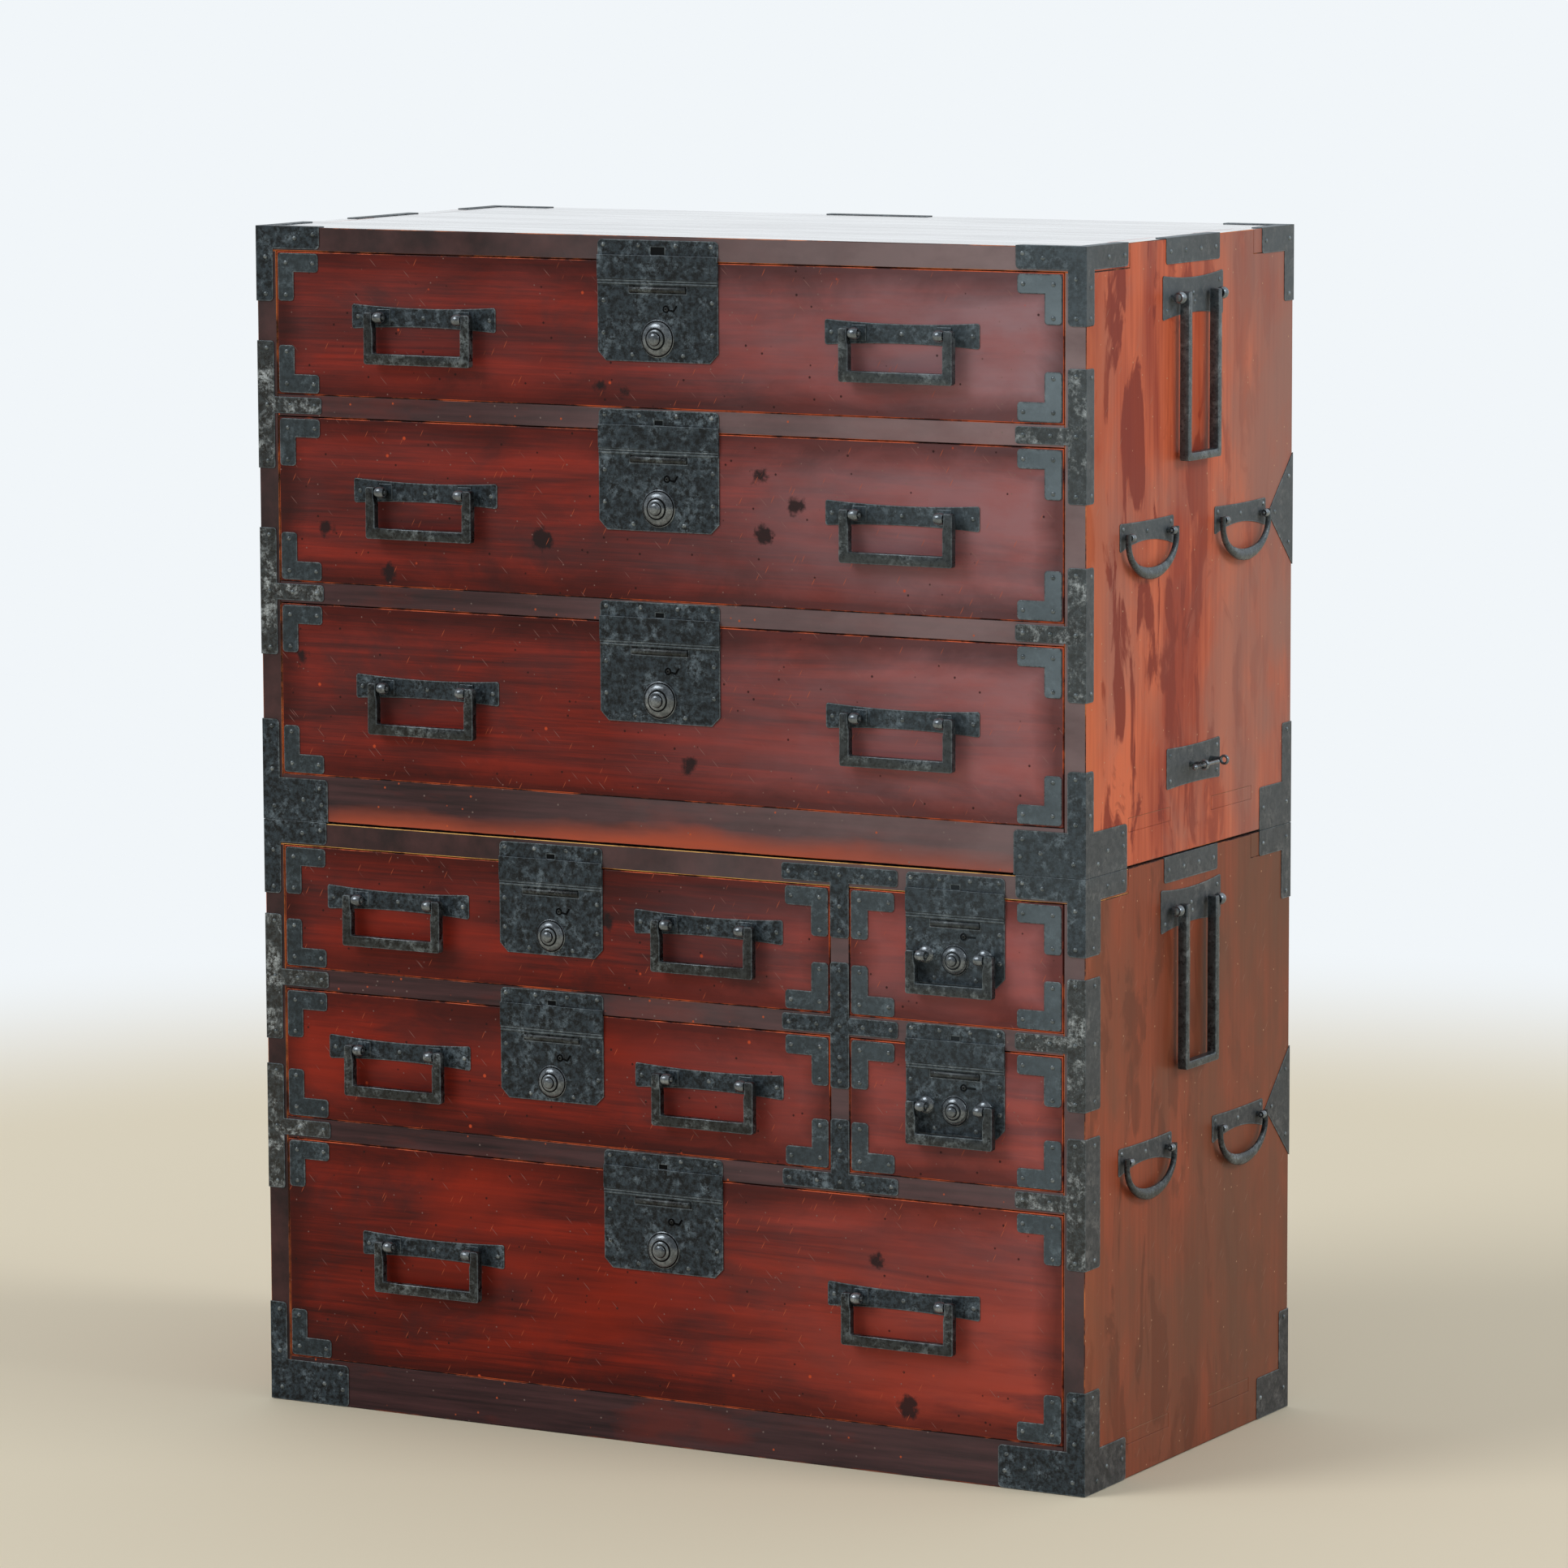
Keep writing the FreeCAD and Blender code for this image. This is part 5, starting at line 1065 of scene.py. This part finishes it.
def lock_set(size):
    """Plate, band, latch bar, keyhole and collar of a lock, from the top of its drawer."""
    half, foot = LOCK_WIDTH[size] / 2, -LOCK_HEIGHT[size]
    slot, low_slot, high_slot = SLOT[size] / 2, -SLOT_DROP - SLOT_HEIGHT / 2, -SLOT_DROP + SLOT_HEIGHT / 2
    plate = block("lock_plate", (-half, 0, foot), (half, 3, -DRAWER_GAP))
    work_on(plate)
    saw("x", -slot, slot)
    saw("z", low_slot, high_slot)

    def dropped(face):
        centre = face.calc_center_median()
        return face.normal.y > -0.5 or (abs(centre.x) < slot and low_slot < centre.z < high_slot)

    pick(plate, "FACE", dropped)
    bpy.ops.mesh.delete(type="FACE")
    pick(plate, "VERT", lambda point: len(point.link_faces) == 1 and point.co.z < foot + 1)
    bpy.ops.mesh.bevel(offset=LOCK_CORNER, segments=1, affect="VERTICES")
    rubbed_plate(plate, LOCK_SHEET, sheet_iron, rim_iron)
    key = Matrix.Translation((KEY_SIDE, 0, -KEY_DROP[size]))
    cutters = [turned("keyhole", [(KEYHOLE, -1), (KEYHOLE, 4)], sides=24)]
    for x, z, length, slant in KEY_SLOTS[size]:
        cutter = block("key_slot", (0, -4, -KEY_SLOT), (length, 1, KEY_SLOT))
        cutter.data.transform(Matrix.Translation((x, 0, z)) @ Matrix.Rotation(math.radians(-slant), 4, "Y"))
        cutters.append(cutter)
    for cutter in cutters:
        cutter.data.transform(key)
        apply(plate, "BOOLEAN", object=cutter, operation="DIFFERENCE", solver="EXACT")
    put_away(*cutters)
    # A black block behind the keyhole: painted shade inside the lock.
    keyhole_shade = coat(block("keyhole_shade", (-5, -0.3, -6), (15, 0, 9)), painted_shade)
    keyhole_shade.data.transform(key)
    band = block("band", (-half, -BAND_OUT, -LOCK_BAND), (half, -LOCK_SHEET, LOCK_LIP))
    low, high = (-half + 0.3, -MOULDING_OUT, -LOCK_BAND - MOULDING), (half - 0.3, -LOCK_SHEET, -LOCK_BAND)
    moulding = block("moulding", low, high)
    work_on(moulding)
    saw("z", *[-LOCK_BAND - edge for ridge in RIDGES for edge in ridge])
    for start, stop in RIDGES:
        pick(
            moulding, "FACE",
            lambda face: face.normal.y < -0.5 and start < -LOCK_BAND - face.calc_center_median().z < stop,
        )
        draw_out(0, -RIDGE_OUT, 0)
    leave()
    for piece in (band, moulding):
        coat(piece, sheet_iron, rim_iron)
        ease(piece, 0.25, rim=1, angle=40)
    face_finish(moulding, 1, lambda centre, normal: normal.y < -0.5 and centre.y < -2)
    bar_rings = [(2.6, -slot + 0.3), (3.3, -slot + 1.2), (3.3, slot - 1.2), (2.6, slot - 0.3)]
    bar = turned("latch_bar", bar_rings, sides=20)
    bar.data.transform(Matrix.Translation((0, -0.5, -SLOT_DROP)) @ Matrix.Scale(0.85, 4, (0, 1, 0)) @ ALONG_X)
    coat(bar, forged_iron)
    smooth(bar)
    ring = turned("key_ring", [(2.1, 0.3), (2.1, 1.3), (1.6, 1.7), (1.0, 1.6), (0.9, 0.5)], sides=20)
    ring.data.transform(key)
    coat(ring, forged_iron)
    smooth(ring)
    share = BOSS[size] / FULL_BOSS
    collar = turned("collar", [(radius * share, out) for radius, out in COLLAR_RINGS], sides=44)
    coat(collar, polished_iron, painted_shade)
    # Painted shade in the collar's grooves.
    for start, stop in ((16.1, 17.1), (9, 10.6)):
        face_finish(collar, 1, lambda centre, normal: start < math.hypot(centre.x, centre.z) / share < stop)
    collar.data.transform(Matrix.Translation((0, 0, -BOSS_DROP[size])))
    smooth(collar, 30)
    spots = nails("front", *[(side * width * half, drop * foot) for width, drop in LOCK_NAILS for side in (-1, 1)])
    for spot in spots:
        spot.data.transform(Matrix.Translation((0, SHEET - LOCK_SHEET, 0)))
    return [plate, keyhole_shade, band, moulding, bar, ring, collar] + spots


def bails_on(name, size):
    """Which bails a drawer has, and where the middle of each one's hinge is on the front."""
    for hand in ("",) if size == "small" else ("_left", "_right"):
        low, high = in_millimetres(f"bail_{name}{hand}")
        yield hand, Vector(((low.x + high.x) / 2, 0, high.z - BAIL_HEAD))


LOCK_SETS = {size: lock_set(size) for size in BOSS}
for name, size in DRAWERS.items():
    low, high = in_millimetres(f"drawer_{name}")
    middle = (low.x + high.x) / 2
    irons = [twin(piece, (middle, 0, high.z + DRAWER_GAP)) for piece in LOCK_SETS[size]]
    corners = (
        (low.x + ELL_INSET, low.z + ELL_INSET), (high.x - ELL_INSET, low.z + ELL_INSET),
        (high.x - ELL_INSET, high.z - ELL_INSET), (low.x + ELL_INSET, high.z - ELL_INSET),
    )
    for (x, z), turn in zip(corners, TIPPED):
        irons += [twin(piece, (x, 0, z), turn) for piece in ell_set]
    for hand, at in bails_on(name, size):
        if size != "small":
            irons += [twin(piece, at) for piece in grip_set]
        for side in (-0.5, 0.5):
            one_eye = small_eye if size == "small" else drawer_eye
            irons.append(twin(one_eye, at + Vector((side * EYE_PITCH[size], 0, 0))))
    fit(f"{name}_front_irons", irons, f"drawer_{name}", "iron", f"drawer_{name}_irons")


# The lock buttons: turned from polished iron, stepped and rounded, they slide in the bosses' collars
# and stop short of the lock plates.
BUTTON_RINGS = [
    (9, 4.7), (9, 6.8), (8.4, 7.3), (7.2, 7.6), (6.6, 7.6), (5.4, 7.8), (5.9, 8.3), (6.1, 9.0), (5.7, 9.9),
    (4.5, 10.7), (2.4, 11.15), (0.8, 11.2),
]
for name, size in DRAWERS.items():
    share = BOSS[size] / FULL_BOSS
    button = turned("button", [(radius * share, out) for radius, out in BUTTON_RINGS], sides=40)
    coat(button, polished_iron, painted_shade)
    # A ring of painted shade where the ball meets the steps.
    face_finish(button, 1, lambda centre, normal: centre.y > -8.4 and math.hypot(centre.x, centre.z) < 6.7 * share)
    smooth(button, 34)
    low, high = in_millimetres(f"lock_button_{name}")
    button.data.transform(Matrix.Translation(((low.x + high.x) / 2, 0, (low.z + high.z) / 2)))
    fit(f"{name}_lock_knob", [button], f"lock_button_{name}", "iron_bright", f"lock_button_{name}")


# The bails: the drawers' and the carrying bails are drawn out square under the hammer and bent hot, and
# the ring bails are bent from round bar. Their pins turn in the eyes, and those of the carrying bails
# are riveted over outside them.
hammered = bpy.data.textures.new("hammered", "CLOUDS")
hammered.noise_scale = 9
SWOLLEN_GRIP, SWOLLEN_LEG = 1.4, 1.2


def cross_pin(name, rings, start, toward, sides):
    """A pin set crosswise in a bail's leg."""
    rod = turned(name, rings, sides)
    rod.data.transform(Matrix.Translation((start, 0, 0)) @ Matrix.Rotation(toward * math.pi / 2, 4, "Z"))
    coat(rod, nail_iron)
    smooth(rod)
    return rod


def forged_bail(name, width, drop, bar, depth, inward, pin_reach):
    """Two legs and a level grip, hammered to shape, hanging from the origin, with pins inward or outward."""
    half = width / 2
    bail = block(name, (-half, -depth / 2, -drop), (half, depth / 2, bar - drop))
    work_on(bail)
    saw("x", bar - half, half - bar)
    pick(bail, "FACE", lambda face: face.normal.z > 0.5 and abs(face.calc_center_median().x) > half - bar)
    draw_out(0, 0, drop - bar + BAIL_HEAD)

    def outer_corner(edge):
        start, stop = (point.co for point in edge.verts)
        level = abs(start.y - stop.y) > depth / 2
        return level and abs(start.x) > half - 0.1 and not 1 - drop <= start.z <= BAIL_HEAD - 1

    pick(bail, "EDGE", outer_corner)
    bpy.ops.mesh.bevel(offset=2.4, segments=3, affect="EDGES")
    saw("x", *[half * share / 8 for share in range(-6, 7)])
    saw("z", *[bar - drop + (drop - bar) * share / 6 for share in range(1, 6)])
    leave()
    for point in bail.data.vertices:
        if inward and abs(point.co.x) < half - bar + 0.1 and point.co.z < -8:
            if abs(point.co.z - (bar - drop)) < 0.1:
                point.co.z += SWOLLEN_GRIP
            if abs(point.co.x) > half - bar - 0.1:
                point.co.x -= math.copysign(SWOLLEN_LEG, point.co.x)
    apply(bail, "DISPLACE", texture=hammered, strength=0.7, mid_level=0.5, texture_coords="LOCAL")
    coat(bail, forged_iron, rim_iron)
    ease(bail, 0.9, rim=1, angle=35)
    smooth(bail, 25)
    parts = [bail]
    rounded_end = [(BAIL_PIN - 0.1, 1.5), (BAIL_PIN * 0.9, 0.5), (BAIL_PIN * 0.5, 0)]
    riveted_end = [(BAIL_PIN - 0.1, 2.2), (3.4, 2.1), (3.6, 1.3), (2.6, 0.4), (0.8, 0)]
    end = [(radius, pin_reach - short) for radius, short in (rounded_end if inward else riveted_end)]
    for side in (-1, 1):
        rings, toward = [(BAIL_PIN - 0.1, 0)] + end, -side if inward else side
        parts.append(cross_pin("rod", rings, side * (half - bar / 2), toward, sides=16))
    return weld(parts)


BAIL_DROP = {"wide": 45, "middle": 45, "small": 36}
FRONT_BAILS = {
    size: forged_bail(f"{size}_bail", width, BAIL_DROP[size], BAIL_BAR, depth=8, inward=True, pin_reach=16.8)
    for size, width in BAIL_WIDTH.items()
}
for name, size in DRAWERS.items():
    for hand, at in bails_on(name, size):
        bail = twin(FRONT_BAILS[size], at - Vector((0, EYE_STAND, 0)))
        fit(f"{name}_handle{hand}", [bail], f"bail_{name}{hand}", "iron", f"bail_{name}{hand}")

carry_bail = forged_bail("carry", 71, drop=153, bar=7.5, depth=9.6, inward=False, pin_reach=19.8)
RING_RADIUS, RING_DROP, RING_NECK, RING_HEAD = 50, 32.5, 5, 3.5


def ring_bail():
    """A half ring, thick in the bow: a round section is spun half about, and its heads are drawn up."""
    bpy.ops.object.select_all(action="DESELECT")
    bpy.ops.mesh.primitive_circle_add(vertices=10, radius=2.5, fill_type="NGON", location=(RING_RADIUS, 0, 0))
    bow = bpy.context.object
    bpy.ops.object.transform_apply(location=True, rotation=True, scale=True)
    bpy.ops.object.mode_set(mode="EDIT")
    bpy.ops.mesh.select_all(action="SELECT")
    bpy.ops.mesh.spin(steps=28, angle=math.pi, center=(0, 0, 0), axis=(0, 1, 0))
    bpy.ops.mesh.select_all(action="SELECT")
    bpy.ops.mesh.remove_doubles(threshold=0.001)
    bpy.ops.mesh.normals_make_consistent(inside=False)
    leave()
    up = sum(point.co.z for point in bow.data.vertices) > 0
    for point in bow.data.vertices:
        x, y, z = point.co
        if up:
            z = -z
        turn = math.atan2(z, x)
        off = math.hypot(x, z) - RING_RADIUS
        low = math.sin(turn) ** 2
        off *= 1 + (0.8 if off > 0 else 1.9) * low
        across, down = math.cos(turn) * (RING_RADIUS + off), math.sin(turn) * (RING_DROP + off)
        point.co = (across, y * (1.15 + 0.1 * low), down - RING_NECK)
    if up:
        bow.data.flip_normals()
    work_on(bow)
    pick(bow, "FACE", lambda face: face.calc_center_median().z > -RING_NECK - 0.2 and abs(face.normal.z) > 0.9)
    draw_out(0, 0, RING_NECK + RING_HEAD)
    leave()
    coat(bow, forged_iron, rim_iron)
    smooth(bow, 50)
    rings = [(1.5, 0), (1.5, 11), (0.8, 11.8)]
    rods = [cross_pin("ring_rod", rings, side * RING_RADIUS, -side, sides=12) for side in (-1, 1)]
    return weld([bow] + rods)


ring = ring_bail()
for case in CASES:
    for side, hand, turn in (("right", 1, ON_RIGHT), ("left", -1, ON_LEFT)):
        bail = twin(carry_bail, (hand * (HALF_WIDTH + CARRY_STAND), DEPTH / 2, CARRY_Z[case]), turn)
        node = f"carry_bail_{case}_{side}"
        fit(f"{case}_carrying_bail_{side}", [bail], node, "iron", node)
        for where, y in RING_Y.items():
            bail = twin(ring, (hand * (HALF_WIDTH + RING_STAND), y, RING_Z[case]), turn)
            node = f"ring_bail_{case}_{side}_{where}"
            fit(f"{case}_ring_{side}_{where}", [bail], node, "iron", node)

put_away(
    nail, flat_nail, grip_plate, carry_plate, ring_plate, catch_plate, drawer_eye, small_eye, carry_eye,
    ring_eye, loop, carry_bail, ring, *ell_set, *grip_set, *FRONT_BAILS.values(),
)
for pieces in LOCK_SETS.values():
    put_away(*pieces)


# The room: a pale floor that runs out into a pale wall all round, lit softly from the left of the front
# and from the right. What shines mirrors a wall that is dimmer behind the camera.
WALL, DAYLIGHT = (0.88, 0.92, 0.95, 1), (0.93, 0.96, 1.0, 1)
FLOOR_SIZE, FLOOR_Z = 30, -0.0005
bpy.ops.object.select_all(action="DESELECT")
bpy.ops.mesh.primitive_plane_add(size=FLOOR_SIZE, location=(0, 0, FLOOR_Z))
floor = bpy.context.object
floor.name = "floor"
bpy.ops.object.transform_apply(location=True, rotation=True, scale=True)
finish, tree, shader, place = new_finish("pale_floor")
skin(tree, shader, tint(222, 211, 186), 0.8)
far = add(tree, "ShaderNodeVectorMath", {0: place}, operation="LENGTH").outputs["Value"]
seen = add(tree, "ShaderNodeLightPath").outputs["Is Camera Ray"]
wall = add(tree, "ShaderNodeEmission", {"Color": WALL, "Strength": 1.0})
floor_end = {"Value": far, "From Min": 1.7, "From Max": 3.0}
run_out = add(tree, "ShaderNodeMapRange", floor_end, interpolation_type="SMOOTHSTEP")
share = both(tree, run_out.outputs["Result"], seen)
ground = add(tree, "ShaderNodeMixShader", {0: share, 1: shader.outputs[0], 2: wall.outputs[0]})
tree.links.new(ground.outputs[0], tree.nodes["Material Output"].inputs["Surface"])
floor.data.materials.append(finish)

world = bpy.data.worlds.new("room")
bpy.context.scene.world = world
world.use_nodes = True
tree = world.node_tree
light_paths = add(tree, "ShaderNodeLightPath").outputs
seen = both(tree, light_paths["Is Camera Ray"], light_paths["Is Glossy Ray"], "MAXIMUM")
ambient = tree.nodes["Background"]
wire(tree, ambient, {"Color": DAYLIGHT, "Strength": 0.6})
heading = axes(tree, add(tree, "ShaderNodeTexCoord").outputs["Generated"])
lit = both(tree, rise(tree, heading["Y"], -0.35, 0.05, 0.3, 1), light_paths["Is Camera Ray"], "MAXIMUM")
wall = add(tree, "ShaderNodeBackground", {"Color": WALL, "Strength": lit})
room = add(tree, "ShaderNodeMixShader", {0: seen, 1: ambient.outputs[0], 2: wall.outputs[0]})
tree.links.new(room.outputs[0], tree.nodes["World Output"].inputs["Surface"])


def window(name, toward, spread, strength):
    """Soft daylight from one side."""
    light = bpy.data.lights.new(name, "SUN")
    light.energy = strength
    light.angle = math.radians(spread)
    lamp = bpy.data.objects.new(name, light)
    bpy.context.scene.collection.objects.link(lamp)
    lamp.rotation_euler = Vector(toward).to_track_quat("Z", "Y").to_euler()


window("left_window", (-0.55, -0.62, 0.62), 28, 1.1)
window("right_window", (0.85, 0.12, 0.55), 24, 0.9)

# The camera stands where the photograph was taken from: right of the front, a little above the chest.
AZIMUTH, PITCH, ROLL = (math.radians(angle) for angle in (29.295, 7.5006, -0.2326))
CAMERA_PLACE = (3.3089, -5.8721, 1.5028)
camera = bpy.data.cameras.new("camera")
camera.lens = 160.25
camera.sensor_width = 36
camera.clip_end = 60
viewpoint = bpy.data.objects.new("camera", camera)
bpy.context.scene.collection.objects.link(viewpoint)
level = Matrix.Rotation(AZIMUTH, 4, "Z") @ Matrix.Rotation(math.pi / 2 - PITCH, 4, "X")
viewpoint.matrix_world = Matrix.Translation(CAMERA_PLACE) @ level @ Matrix.Rotation(ROLL, 4, "Z")
bpy.context.scene.camera = viewpoint
bpy.context.scene.view_settings.view_transform = "Standard"
